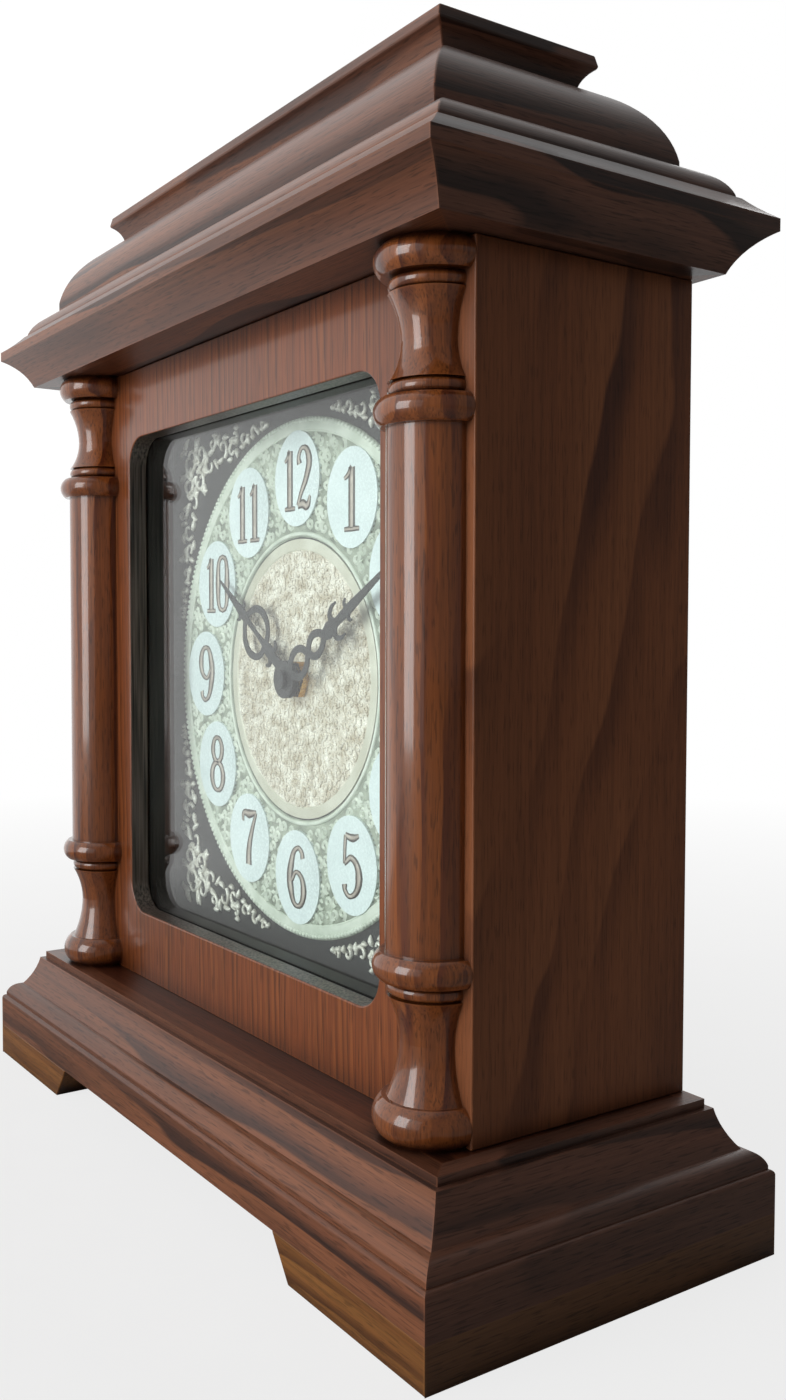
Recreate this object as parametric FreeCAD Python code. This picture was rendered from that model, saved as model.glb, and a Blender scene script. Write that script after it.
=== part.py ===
import FreeCAD
import Part
import math
import os

# Table clock in the bracket style: a wooden case with turned half columns, a moulded base and
# cornice, a domed top, a glazed dial and a quartz movement that is reached by a rear door.
# Millimetres, +Z up, front towards -Y, origin under the middle of the base.

# Case
case_width = 256.0
case_depth = 78.0
case_height = 232.0
side_thickness = 12.0
front_thickness = 12.0
back_thickness = 8.0
top_board_thickness = 10.0
case_setback = 0.5          # case back, in from the rear edge of the base's top

# Base, four mitred mouldings on a low foot frame
base_depth = 123.0
base_overhang = 21.5        # base face, out from the case side
base_board_width = 20.0     # width in plan of the feet and mouldings
base_board_thickness = 10.0
foot_height = 12.0
foot_gap = 174.0            # clear width between the front feet at the floor
foot_slant = 9.0            # lean of each front foot's inner end
fascia_height = 12.5
fascia_round = 1.5
fascia_bow_share = 0.2      # arcs stand off their chords by these shares of the chord
quirk_depth = 1.4
quirk_height = 1.0
ogee_height = 15.5
base_fillet_height = 2.5
base_fillet_step = 1.8
base_top_overhang = 7.5
bead_run = 5.3              # rounded lower part of the ogee
bead_height = 5.4
bead_bow_share = 0.16
hollow_bow_share = 0.06

# Cornice, four mitred mouldings
soffit_overhang = 9.6
cornice_overhang = 19.8
cornice_top_overhang = 12.5
cornice_seat = 12.0         # width of the moulding that sits on the case
cove_height = 11.0
cove_bow_share = 0.09
lip_height = 3.5
cornice_slope_height = 6.0
slope_bow_share = 0.03

# Ledge board, dome and cap
ledge_height = 8.0
ledge_step = 1.0            # ledge board's edge, in from the cornice's top and upright
ledge_run = 8.5             # width of the ledge's rounded edge
ledge_bow_share = -0.13
dome_width = 253.0
dome_depth = 86.0
dome_height = 26.0
dome_shoulder = 4.0         # upright part of the dome's wall
dome_inset = 22.0
dome_bow_share = 0.155
cap_width = 218.0
cap_depth = 57.0
cap_height = 10.0
cap_edge_height = 3.6
cap_undercut = 4.5
cap_bevel = 0.9
cap_bow_share = 0.12

# Turned half columns
least_edge = 0.001          # shorter steps of the outline are dropped
ring_radius = 16.5
shaft_radius = 13.0
bead_radius = 12.7
neck_radius = 9.2
flare_radius = 12.6
base_ring_height = 10.5
capital_ring_height = 8.0
middle_ring_height = 7.4
bead_height = 4.2
lower_vase_height = 27.0
upper_vase_height = 22.5
neck_share = 0.55           # place of the neck along a vase, from its wider end
vase_swell = 0.25           # share of the flare left halfway to the neck

# Window, glass and dial
dial_centre_height = 160.0
window_width = 171.0
window_height = 181.0
window_drop = 0.8           # window's centre below the dial's
window_radius = 11.0
surround_height = 208.0
surround_lip = 4.0
surround_depth = 15.0
glass_thickness = 2.5
glass_clearance = 0.5
front_lip = 7.3             # wood in front of the glass, which lies in a rebate behind it
glass_lap = 6.0             # rebate round the window
dial_cavity_width = 199.0
dial_cavity_height = 197.0
dial_flange = 5.0
dial_thickness = 1.2
chapter_outer_radius = 89.0
chapter_inner_radius = 48.5
chapter_thickness = 0.5
plaque_radius = 68.5        # distance of the hour plaques from the hub
plaque_height = 32.5        # the plaques all stand upright
plaque_width = 29.5
plaque_thickness = 0.4
disc_radius = 48.0
disc_thickness = 0.6
spandrel_gap = 3.0          # bare plate between a spandrel and the hour ring
spandrel_margin = 6.0       # bare plate between a spandrel and the dial's edge
spandrel_thickness = 0.6
dial_screw_inset = 2.6

# Hands
hour_reading = 305.0        # degrees past twelve
minute_reading = 60.0
hour_hand_length = 62.0
minute_hand_length = 84.0
hand_thickness = 0.6
hand_boss_radius = 6.5
hand_waist = 4.0
hand_throat = 2.6           # width where the blade's point begins
hand_belly = 5.2            # widest part of the point
point_length = 24.0
belly_place = 15.0          # widest part of the point, back from its tip
hour_loop_radius = 5.6      # pierced loops on both sides of the hour hand's stem
hour_loop_place = 28.5
minute_loop_radius = 4.4    # two pairs of loops on the minute hand
minute_loop_place = 13.5
minute_loop_spacing = 10.0
loop_wall = 1.7
loop_lap = 0.8              # loops run into the stem by this much
hand_gap = 1.4              # between the two hands, and from the hour hand to the nut
hand_nut_radius = 3.2
hand_nut_height = 1.8

# Quartz movement
movement_size = 56.0
movement_depth = 17.0
housing_wall = 1.5
bush_radius = 4.0
bush_clearance = 0.15
nut_flats = 12.0
nut_height = 2.4
hour_tube_radius = 2.5
minute_arbor_radius = 1.75
second_arbor_radius = 0.65
running_fit = 0.07
press_gap = 0.02
arbor_radius = 0.5
pivot_depth = 1.0
post_radius = 0.8
collar_radius = 2.6
collar_height = 0.4
wheel_thickness = 1.0
layer_step = 1.7
layer_clearance = 0.5
collar_gap = 0.1            # centre wheel to the collar behind it
post_reach = 0.25           # motion post, past its wheel
battery_radius = 7.1
battery_length = 50.5
battery_clearance = 0.2
battery_nub_radius = 2.7
battery_nub_length = 1.2
partition = 1.0
rotor_magnet_radius = 2.2
rotor_magnet_height = 2.4
stator_hole_clearance = 0.6
stator_thickness = 1.4
stator_width = 7.0
stator_arm_width = 3.0
stator_arm_rise = 7.0
coil_radius = 3.2
coil_length = 13.0
circuit_width = 11.0
circuit_height = 15.0
circuit_thickness = 1.0
knob_radius = 5.0
knob_height = 5.0
setting_arbor_radius = 1.0

# Wheel train: teeth, and the distances and bearings of the arbors
cannon_teeth = 12
motion_teeth = 36
motion_pinion_teeth = 10
hour_teeth = 40
setting_teeth = 12
rotor_teeth = 8
intermediate_teeth = 48
intermediate_pinion_teeth = 8
second_teeth = 40
second_pinion_teeth = 8
third_teeth = 60
third_pinion_teeth = 8
centre_teeth = 64
motion_distance = 9.0
third_distance = 10.5
intermediate_distance = 11.0
rotor_distance = 9.0
motion_bearing = 90.0
third_bearing = 20.0
intermediate_bearing = 160.0
rotor_bearing = 110.0
addendum = 0.8              # tooth heights, in modules
dedendum = 1.15
tooth_root = 0.40           # tooth widths, as shares of the pitch
tooth_tip = 0.14

# Rear door and its hinges
door_width = 150.0
door_height = 150.0
door_gap = 1.0
hinge_length = 24.0
hinge_spacing = 96.0
leaf_width = 11.0
leaf_thickness = 0.8
knuckle_radius = 2.0
knuckle_lift = 0.3          # knuckle's clearance over the wood
knuckle_gap = 0.2
hinge_pin_radius = 0.9
hinge_pin_fit = 0.05
screw_head_radius = 1.9
screw_head_height = 0.9
screw_shank_radius = 0.9
screw_length = 6.0
screw_clearance = 0.05
screw_slot_width = 0.7
screw_slot_depth = 0.45
hinge_screw_spacing = 15.0
door_knob_radius = 6.0
door_knob_length = 11.0
door_knob_stem_radius = 3.0
door_knob_inset = 12.0
knob_screw_radius = 1.6
magnet_length = 24.0
magnet_width = 9.0
magnet_height = 10.0
magnet_gap = 0.3

# Heights and planes that follow from the sizes
fascia_top = foot_height + fascia_height
base_height = fascia_top + quirk_height + ogee_height + base_fillet_height
soffit = base_height + case_height
cornice_top = soffit + cove_height + lip_height + cornice_slope_height
ledge_top = cornice_top + ledge_height
dome_top = ledge_top + dome_height
plan_half_width = case_width / 2
plan_half_depth = base_depth / 2 - base_overhang
case_back = plan_half_depth + base_top_overhang - case_setback
case_front = case_back - case_depth
inner_half_width = case_width / 2 - side_thickness
surround_front = case_front + front_thickness
glass_front = case_front + front_lip
dial_front = surround_front + surround_depth
movement_front = dial_front + dial_thickness
gear_floor = movement_front + housing_wall
cover_front = movement_front + movement_depth - housing_wall
back_front = case_back - back_thickness
column_place = case_width / 2 - ring_radius
window_centre = dial_centre_height - window_drop
hinge_x = door_width / 2 - door_gap / 2
hinge_y = case_back + knuckle_lift + knuckle_radius

vector = FreeCAD.Vector
up = vector(0, 0, 1)
backward = vector(0, 1, 0)


def save(name, *solids):
    shape = solids[0] if len(solids) == 1 else Part.makeCompound(list(solids))
    shape.exportStep("parts/" + name + ".step")


def block(x0, x1, y0, y1, z0, z1):
    return Part.makeBox(x1 - x0, y1 - y0, z1 - z0, vector(x0, y0, z0))


def closed_face(start, steps, place):
    # each step is one point for a straight edge, or a point on the way and an end for an arc
    edges = []
    here = start
    for step in steps + [[start]]:
        if len(step) == 1:
            edges.append(Part.makeLine(place(*here), place(*step[0])))
        else:
            edges.append(Part.Arc(place(*here), place(*step[0]), place(*step[1])).toShape())
        here = step[-1]
    return Part.Face(Part.Wire(edges))


def bowed(start, end, bow):
    # an arc that stands off its chord by a share of the chord's length
    along = (end[0] - start[0], end[1] - start[1])
    middle = ((start[0] + end[0]) / 2 - bow * along[1], (start[1] + end[1]) / 2 + bow * along[0])
    return [middle, end]


def mitred_board(side, start, steps, outer, inner):
    # a moulding along one side of the plan rectangle, mitred at both ends
    quarter = ("front", "right", "back", "left").index(side)
    run, out = (plan_half_width, plan_half_depth)
    if side in ("left", "right"):
        run, out = out, run
    face = closed_face(start, steps, lambda offset, z: vector(-run - outer, -out - offset, z))
    bar = face.extrude(vector(2 * (run + outer), 0, 0))
    low = bar.BoundBox.ZMin
    high = bar.BoundBox.ZMax
    corners = [(-run - outer, -out - outer), (run + outer, -out - outer),
               (run + inner, -out - inner), (-run - inner, -out - inner)]
    points = [vector(x, y, low) for x, y in corners]
    mitre = Part.Face(Part.makePolygon(points + points[:1])).extrude(vector(0, 0, high - low))
    piece = bar.common(mitre).Solids[0]
    piece.rotate(vector(0, 0, 0), up, 90 * quarter)
    return piece


def edged_board(half_width, half_depth, start, steps):
    # a board whose four edges carry one profile, given as offsets from its plan and heights
    corners = [start] + [step[-1] for step in steps]
    reach = max(point[0] for step in [[start]] + steps for point in step)

    def outline(half, place):
        path = [[(half + offset, z) for offset, z in step] for step in steps]
        path.append([(-half - corners[-1][0], corners[-1][1])])
        for step, corner in reversed(list(zip(steps, corners))):
            path.append([(-half - offset, z) for offset, z in step[:-1] + [corner]])
        return closed_face((half + start[0], start[1]), path, place)

    width_run = half_depth + reach
    depth_run = half_width + reach
    across = outline(half_width, lambda x, z: vector(x, -width_run, z)).extrude(vector(0, 2 * width_run, 0))
    along = outline(half_depth, lambda y, z: vector(-depth_run, y, z)).extrude(vector(2 * depth_run, 0, 0))
    return across.common(along).Solids[0]


def polar(origin, distance, bearing):
    angle = math.radians(bearing)
    return (origin[0] + distance * math.cos(angle), origin[1] + distance * math.sin(angle))


def cylinder_y(x, y0, y1, z, radius):
    return Part.makeCylinder(radius, y1 - y0, vector(x, y0, z), backward)


def ring_y(x, y0, y1, z, outer, inner):
    return cylinder_y(x, y0, y1, z, outer).cut(cylinder_y(x, y0, y1, z, inner))


def window_opening(front, rear):
    plate = block(-window_width / 2, window_width / 2, front, rear,
                  window_centre - window_height / 2, window_centre + window_height / 2)
    corners = [edge for edge in plate.Edges if edge.BoundBox.YLength > edge.BoundBox.DiagonalLength / 2]
    return plate.makeFillet(window_radius, corners)


def slotted_screw(x, z, seat):
    # driven from behind, with its head on the seat and a slot across the head
    top = seat + screw_head_height
    head = cylinder_y(x, seat, top, z, screw_head_radius)
    shank = cylinder_y(x, seat - screw_length, seat, z, screw_shank_radius)
    slot = block(x - screw_head_radius, x + screw_head_radius, top - screw_slot_depth, top,
                 z - screw_slot_width / 2, z + screw_slot_width / 2)
    return head.fuse(shank).removeSplitter().cut(slot).Solids[0]


# Base

def make_feet():
    outer = base_overhang
    inner = base_overhang - base_board_width
    section = [[(outer, 0)], [(outer, foot_height)], [(inner, foot_height)]]
    boards = {side: mitred_board(side, (inner, 0), section, outer, inner)
              for side in ("front", "right", "back", "left")}
    low = foot_gap / 2
    high = low - foot_slant
    depth = base_depth / 2
    start = (-low, 0)
    edge = [[(low, 0)], [(high, foot_height)], [(-high, foot_height)]]
    gap = closed_face(start, edge, lambda x, z: vector(x, -depth, z))
    front = boards["front"].cut(gap.extrude(vector(0, depth, 0)))
    left, right = sorted(front.Solids, key=lambda solid: solid.CenterOfMass.x)
    save("foot_front_left", left)
    save("foot_front_right", right)
    save("foot_side_left", boards["left"])
    save("foot_side_right", boards["right"])
    save("foot_back", boards["back"])


def make_base():
    outer = base_overhang
    inner = base_overhang - base_board_width
    shoulder = (outer - fascia_round, fascia_top)
    foot = (outer - quirk_depth, fascia_top + quirk_height)
    crown = (base_top_overhang + base_fillet_step, foot[1] + ogee_height)
    waist = (foot[0] - bead_run, foot[1] + bead_height)
    steps = [[(outer, foot_height)],
             [(outer, fascia_top - fascia_round)],
             bowed((outer, fascia_top - fascia_round), shoulder, -fascia_bow_share),
             [(outer - quirk_depth, fascia_top)],
             [foot],
             bowed(foot, waist, -bead_bow_share),
             bowed(waist, crown, hollow_bow_share),
             [(base_top_overhang, crown[1])],
             [(base_top_overhang, base_height)],
             [(inner, base_height)]]
    for side in ("front", "right", "back", "left"):
        save("base_moulding_" + side, mitred_board(side, (inner, foot_height), steps, outer, inner))
    half_width = plan_half_width + inner
    half_depth = plan_half_depth + inner
    save("base_board", block(-half_width, half_width, -half_depth, half_depth,
                             base_height - base_board_thickness, base_height))


# Case

def make_sides():
    for name, place in (("left", -case_width / 2), ("right", case_width / 2 - side_thickness)):
        panel = block(place, place + side_thickness, case_front, case_back, base_height, soffit)
        save("side_panel_" + name, panel)
    save("case_top_board", block(-inner_half_width, inner_half_width, case_front + front_thickness,
                                 back_front, soffit - top_board_thickness, soffit))


def rebate_edges():
    reach = window_height / 2 + glass_lap
    return window_width / 2 + glass_lap, window_centre - reach, window_centre + reach


def make_front_panel():
    panel = block(-inner_half_width, inner_half_width, case_front, surround_front, base_height, soffit)
    window = window_opening(case_front, surround_front)
    half_width, floor, ceiling = rebate_edges()
    rebate = block(-half_width, half_width, glass_front, surround_front, floor, ceiling)
    save("front_panel", panel.cut([window, rebate]))


def column_steps():
    # the turned outline from the foot up, as radii and heights
    steps = []

    def ring(z, height, radius, step_radius):
        edge = height / 2
        steps.append([(radius - edge / 2, z)])
        steps.append([(radius, z + edge), (radius - edge / 2, z + height)])
        steps.append([(step_radius, z + height)])
        return z + height

    def bead(z, next_radius):
        edge = bead_height / 2
        steps.append([(bead_radius - edge, z)])
        steps.append([(bead_radius, z + edge), (bead_radius - edge, z + bead_height)])
        steps.append([(next_radius, z + bead_height)])
        return z + bead_height

    def vase(z, height, neck_height):
        foot = (flare_radius, z)
        neck = (neck_radius, z + neck_height)
        head = (flare_radius, z + height)
        halfway = neck_radius + (flare_radius - neck_radius) * vase_swell
        lower = (halfway, z + neck_height / 2)
        upper = (halfway, (neck[1] + head[1]) / 2)
        steps.append([foot])
        steps.append([lower, neck])
        steps.append([upper, head])
        return z + height

    z = ring(base_height, base_ring_height, ring_radius, flare_radius)
    z = vase(z, lower_vase_height, lower_vase_height * neck_share)
    z = bead(z, shaft_radius)
    z = ring(z, middle_ring_height, ring_radius, shaft_radius)
    upper = soffit - capital_ring_height - bead_height - upper_vase_height
    z = ring_top = upper - bead_height - middle_ring_height
    steps.append([(shaft_radius, ring_top)])
    z = ring(z, middle_ring_height, ring_radius, bead_radius - bead_height / 2)
    z = bead(z, flare_radius)
    z = vase(z, upper_vase_height, upper_vase_height * (1 - neck_share))
    z = bead(z, bead_radius - bead_height / 2)
    ring(z, capital_ring_height, ring_radius, ring_radius - capital_ring_height / 4)
    steps.append([(0, soffit)])
    return steps


def distinct(start, steps):
    # drops straight steps of no length
    kept = []
    here = start
    for step in steps:
        end = step[-1]
        if math.hypot(end[0] - here[0], end[1] - here[1]) > least_edge:
            kept.append(step)
        here = end
    return kept


def make_columns():
    start = (0, base_height)
    steps = distinct(start, column_steps())
    for name, place in (("left", -column_place), ("right", column_place)):
        face = closed_face(start, steps, lambda radius, z: vector(place + radius, case_front, z))
        save("column_" + name, face.revolve(vector(place, case_front, 0), vector(0, 0, -1), 180))


# Cornice, ledge, dome and cap

def make_cornice():
    inner = -cornice_seat
    lip = soffit + cove_height
    lip_top = lip + lip_height
    throat = (soffit_overhang, soffit)
    steps = [[throat],
             bowed(throat, (cornice_overhang, lip), cove_bow_share),
             [(cornice_overhang, lip_top)],
             bowed((cornice_overhang, lip_top), (cornice_top_overhang, cornice_top), slope_bow_share),
             [(inner, cornice_top)]]
    for side in ("front", "right", "back", "left"):
        save("cornice_" + side, mitred_board(side, (inner, soffit), steps, cornice_overhang, inner))


def make_ledge():
    # offsets from the edge of the board's flat top
    inset = cornice_top_overhang - ledge_step - ledge_run
    step = (ledge_run, cornice_top + ledge_step)
    steps = [[step], bowed(step, (0, ledge_top), ledge_bow_share)]
    save("ledge_board", edged_board(plan_half_width + inset, plan_half_depth + inset,
                                    (ledge_run, cornice_top), steps))


def make_dome():
    shoulder = (0, ledge_top + dome_shoulder)
    steps = [[shoulder], bowed(shoulder, (-dome_inset, dome_top), -dome_bow_share)]
    save("dome", edged_board(dome_width / 2, dome_depth / 2, (0, ledge_top), steps))


def make_cap():
    top = dome_top + cap_height
    foot = (-cap_undercut, dome_top)
    tip = (0, top - cap_edge_height)
    steps = [bowed(foot, tip, cap_bow_share), [(-cap_bevel, top)]]
    save("cap", edged_board(cap_width / 2, cap_depth / 2, foot, steps))


# Window and dial

def make_surround():
    height = surround_height / 2
    frame = block(-inner_half_width, inner_half_width, surround_front, dial_front,
                  dial_centre_height - height, dial_centre_height + height)
    cavity_front = surround_front + surround_lip
    window = window_opening(surround_front, cavity_front)
    half_width = dial_cavity_width / 2
    half_height = dial_cavity_height / 2
    cavity = block(-half_width, half_width, cavity_front, dial_front,
                   dial_centre_height - half_height, dial_centre_height + half_height)
    holes = [cylinder_y(x, dial_front - screw_length + dial_thickness, dial_front, z,
                        screw_shank_radius + screw_clearance) for x, z in dial_screw_places()]
    save("dial_surround", frame.cut([window, cavity] + holes))


def make_glass():
    wall, floor, ceiling = rebate_edges()
    rear = glass_front + glass_thickness
    save("glass_pane", block(-wall + glass_clearance, wall - glass_clearance, glass_front, rear,
                             floor + glass_clearance, ceiling - glass_clearance))
    # strips that hold the glass fill the rest of the rebate
    stops = [block(-wall, wall, rear, surround_front, z, z + glass_lap)
             for z in (floor, ceiling - glass_lap)]
    for x in (-wall, wall - glass_lap):
        stops.append(block(x, x + glass_lap, rear, surround_front, floor + glass_lap, ceiling - glass_lap))
    save("glass_stops", *stops)


def dial_screw_places():
    half_width = dial_cavity_width / 2 + dial_screw_inset
    half_height = dial_cavity_height / 2 + dial_screw_inset
    return [(x, dial_centre_height + z) for x in (-half_width, half_width)
            for z in (-half_height, half_height)]


def make_dial_plate():
    half_width = dial_cavity_width / 2 + dial_flange
    half_height = dial_cavity_height / 2 + dial_flange
    rear = dial_front + dial_thickness
    plate = block(-half_width, half_width, dial_front, rear,
                  dial_centre_height - half_height, dial_centre_height + half_height)
    holes = [cylinder_y(0, dial_front, rear, dial_centre_height, bush_radius + bush_clearance)]
    for x, z in dial_screw_places():
        holes.append(cylinder_y(x, dial_front, rear, z, screw_shank_radius + screw_clearance))
    save("dial_plate", plate.cut(holes))
    save("dial_screws", *[slotted_screw(x, z, rear) for x, z in dial_screw_places()])


def make_chapter_ring():
    front = dial_front - chapter_thickness
    ring = ring_y(0, front, dial_front, dial_centre_height, chapter_outer_radius, chapter_inner_radius)
    plaques = []
    for hour in range(12):
        x, z = polar((0, dial_centre_height), plaque_radius, hour * 30)
        oval = Part.Ellipse(vector(0, 0, 0), plaque_height / 2, plaque_width / 2).toShape()
        plaque = Part.Face(Part.Wire(oval)).extrude(vector(0, 0, plaque_thickness))
        plaque.rotate(vector(0, 0, 0), up, 90)
        plaque.rotate(vector(0, 0, 0), vector(1, 0, 0), 90)
        plaque.translate(vector(x, front, z))
        plaques.append(plaque)
    save("chapter_ring", ring.fuse(plaques).removeSplitter())
    disc = ring_y(0, dial_front - disc_thickness, dial_front, dial_centre_height,
                  disc_radius, bush_radius + bush_clearance)
    save("centre_disc", disc)


def make_spandrels():
    half_width = dial_cavity_width / 2 - spandrel_margin
    half_height = dial_cavity_height / 2 - spandrel_margin
    radius = chapter_outer_radius + spandrel_gap
    front = dial_front - spandrel_thickness
    round_cut = cylinder_y(0, front, dial_front, dial_centre_height, radius)
    corners = []
    for x_side in (-1, 1):
        for z_side in (-1, 1):
            x0, x1 = sorted((0, x_side * half_width))
            z0, z1 = sorted((0, z_side * half_height))
            quarter = block(x0, x1, front, dial_front, dial_centre_height + z0, dial_centre_height + z1)
            pieces = quarter.cut(round_cut).Solids
            corners.append(max(pieces, key=lambda solid: solid.Volume))
    save("spandrels", *corners)


# Hands, nearest the dial first

disc_front = dial_front - disc_thickness
nut_front = disc_front - nut_height
bush_front = nut_front - press_gap
hour_hand_rear = nut_front - hand_gap
hour_hand_front = hour_hand_rear - hand_thickness
minute_hand_rear = hour_hand_front - hand_gap
minute_hand_front = minute_hand_rear - hand_thickness


def hand(length, front, rear, bore, loops, reading):
    # a pointed stem with a round boss and pairs of pierced loops, drawn at twelve and then turned
    waist = hand_waist / 2
    throat = hand_throat / 2
    belly = hand_belly / 2
    shoulder = length - point_length
    start = (-waist, 0)
    steps = [[(waist, 0)], [(throat, shoulder)], [(belly, length - belly_place)], [(0, length)],
             [(-belly, length - belly_place)], [(-throat, shoulder)]]
    stem = closed_face(start, steps, lambda x, z: vector(x, front, dial_centre_height + z))
    pieces = [cylinder_y(0, front, rear, dial_centre_height, hand_boss_radius)]
    for place, radius in loops:
        reach = waist + (throat - waist) * place / shoulder + radius - loop_lap
        for x in (-reach, reach):
            pieces.append(ring_y(x, front, rear, dial_centre_height + place, radius, radius - loop_wall))
    hole = cylinder_y(0, front, rear, dial_centre_height, bore)
    shape = stem.extrude(vector(0, rear - front, 0)).fuse(pieces).removeSplitter().cut(hole)
    shape.rotate(vector(0, 0, dial_centre_height), backward, reading)
    return shape.Solids[0]


def make_hands():
    hour_loops = [(hour_loop_place, hour_loop_radius)]
    minute_loops = [(minute_loop_place + row * minute_loop_spacing, minute_loop_radius) for row in range(2)]
    save("hour_hand", hand(hour_hand_length, hour_hand_front, hour_hand_rear,
                           hour_tube_radius + press_gap, hour_loops, hour_reading))
    save("minute_hand", hand(minute_hand_length, minute_hand_front, minute_hand_rear,
                             minute_arbor_radius + press_gap, minute_loops, minute_reading))
    nut = cylinder_y(0, minute_hand_front - hand_nut_height, minute_hand_front,
                     dial_centre_height, hand_nut_radius)
    stud = cylinder_y(0, minute_hand_front, minute_hand_rear, dial_centre_height,
                      second_arbor_radius)
    save("hand_nut", nut.fuse(stud).removeSplitter())


# Quartz movement

def layer(number):
    return gear_floor + layer_clearance + number * layer_step


hub = (0.0, dial_centre_height)
motion_place = polar(hub, motion_distance, motion_bearing)
third_place = polar(hub, third_distance, third_bearing)
intermediate_place = polar(hub, intermediate_distance, intermediate_bearing)
rotor_place = polar(intermediate_place, rotor_distance, rotor_bearing)
setting_distance = motion_distance * (motion_teeth + setting_teeth) / (motion_teeth + cannon_teeth)
setting_place = polar(motion_place, setting_distance, motion_bearing)


def module(distance, teeth, other_teeth):
    return 2 * distance / (teeth + other_teeth)


def gear(place, teeth, size, y0, y1, tooth_bearing):
    # a spur wheel of the given module with one tooth centred on a bearing
    pitch = 360.0 / teeth
    root = size * (teeth / 2 - dedendum)
    tip = size * (teeth / 2 + addendum)
    points = []
    for tooth in range(teeth):
        middle = tooth_bearing + tooth * pitch
        for radius, offset in ((root, -tooth_root / 2), (tip, -tooth_tip / 2),
                               (tip, tooth_tip / 2), (root, tooth_root / 2)):
            x, z = polar(place, radius, middle + offset * pitch)
            points.append(vector(x, y0, z))
    return Part.Face(Part.makePolygon(points + points[:1])).extrude(vector(0, y1 - y0, 0))


def meeting_gap(teeth, bearing):
    # bearing of a tooth that leaves a gap facing the given bearing
    return bearing + 180.0 / teeth


def arbor(place, y0, y1, radius):
    return cylinder_y(place[0], y0, y1, place[1], radius)


def joined(*shapes):
    return shapes[0].fuse(list(shapes[1:])).removeSplitter().Solids[0]


def make_motion_work():
    cannon_module = module(motion_distance, cannon_teeth, motion_teeth)
    hour_module = module(motion_distance, motion_pinion_teeth, hour_teeth)
    opposite = motion_bearing + 180
    collar_front = layer(2) + wheel_thickness + collar_gap
    minute_arbor = joined(
        arbor(hub, minute_hand_front, collar_front + collar_height, minute_arbor_radius),
        gear(hub, cannon_teeth, cannon_module, layer(1), layer(1) + wheel_thickness, motion_bearing),
        arbor(hub, collar_front, collar_front + collar_height, collar_radius))
    bore = arbor(hub, minute_hand_front, collar_front + collar_height, second_arbor_radius + running_fit)
    save("minute_arbor", minute_arbor.cut(bore))

    hour_wheel = joined(
        gear(hub, hour_teeth, hour_module, layer(0), layer(0) + wheel_thickness, motion_bearing),
        arbor(hub, hour_hand_front, layer(0) + wheel_thickness, hour_tube_radius))
    bore = arbor(hub, hour_hand_front, layer(0) + wheel_thickness, minute_arbor_radius + running_fit)
    save("hour_wheel", hour_wheel.cut(bore))

    motion_wheel = joined(
        gear(motion_place, motion_teeth, cannon_module, layer(1), layer(1) + wheel_thickness,
             meeting_gap(motion_teeth, opposite)),
        gear(motion_place, motion_pinion_teeth, hour_module, layer(0), layer(1),
             meeting_gap(motion_pinion_teeth, opposite)))
    bore = arbor(motion_place, layer(0), layer(1) + wheel_thickness, post_radius + running_fit)
    save("motion_wheel", motion_wheel.cut(bore))

    knob_front = cover_front + housing_wall + layer_clearance
    setting_module = module(setting_distance, setting_teeth, motion_teeth)
    save("setting_knob", joined(
        arbor(setting_place, gear_floor - pivot_depth, layer(1), arbor_radius),
        gear(setting_place, setting_teeth, setting_module, layer(1), layer(1) + wheel_thickness, opposite),
        arbor(setting_place, layer(1), knob_front, setting_arbor_radius),
        arbor(setting_place, knob_front, knob_front + knob_height, knob_radius)))


def make_going_train():
    front_pivot = gear_floor - pivot_depth
    rear_pivot = cover_front + pivot_depth
    third_module = module(third_distance, second_pinion_teeth, third_teeth)
    centre_module = module(third_distance, third_pinion_teeth, centre_teeth)
    second_module = module(intermediate_distance, intermediate_pinion_teeth, second_teeth)
    rotor_module = module(rotor_distance, rotor_teeth, intermediate_teeth)

    centre_wheel = gear(hub, centre_teeth, centre_module, layer(2), layer(2) + wheel_thickness, third_bearing)
    bore = arbor(hub, layer(2), layer(2) + wheel_thickness, minute_arbor_radius + running_fit)
    save("centre_wheel", centre_wheel.cut(bore))

    save("third_wheel", joined(
        arbor(third_place, front_pivot, rear_pivot, arbor_radius),
        gear(third_place, third_pinion_teeth, centre_module, layer(2), layer(3),
             meeting_gap(third_pinion_teeth, third_bearing + 180)),
        gear(third_place, third_teeth, third_module, layer(3), layer(3) + wheel_thickness,
             meeting_gap(third_teeth, third_bearing + 180))))

    save("second_wheel", joined(
        arbor(hub, nut_front, rear_pivot, second_arbor_radius),
        gear(hub, second_pinion_teeth, third_module, layer(3), layer(4), third_bearing),
        gear(hub, second_teeth, second_module, layer(4), layer(4) + wheel_thickness,
             intermediate_bearing)))

    save("intermediate_wheel", joined(
        arbor(intermediate_place, front_pivot, rear_pivot, arbor_radius),
        gear(intermediate_place, intermediate_pinion_teeth, second_module, layer(4), layer(5),
             meeting_gap(intermediate_pinion_teeth, intermediate_bearing + 180)),
        gear(intermediate_place, intermediate_teeth, rotor_module, layer(5),
             layer(5) + wheel_thickness, rotor_bearing)))

    magnet_front = layer(6)
    save("rotor", joined(
        arbor(rotor_place, front_pivot, rear_pivot, arbor_radius),
        gear(rotor_place, rotor_teeth, rotor_module, layer(5), layer(5) + wheel_thickness,
             meeting_gap(rotor_teeth, rotor_bearing + 180)),
        arbor(rotor_place, magnet_front, magnet_front + rotor_magnet_height, rotor_magnet_radius)))


def housing_limits():
    half = movement_size / 2
    battery_top = dial_centre_height - half + housing_wall + 2 * (battery_radius + battery_clearance)
    return half, half - housing_wall, battery_top


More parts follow.
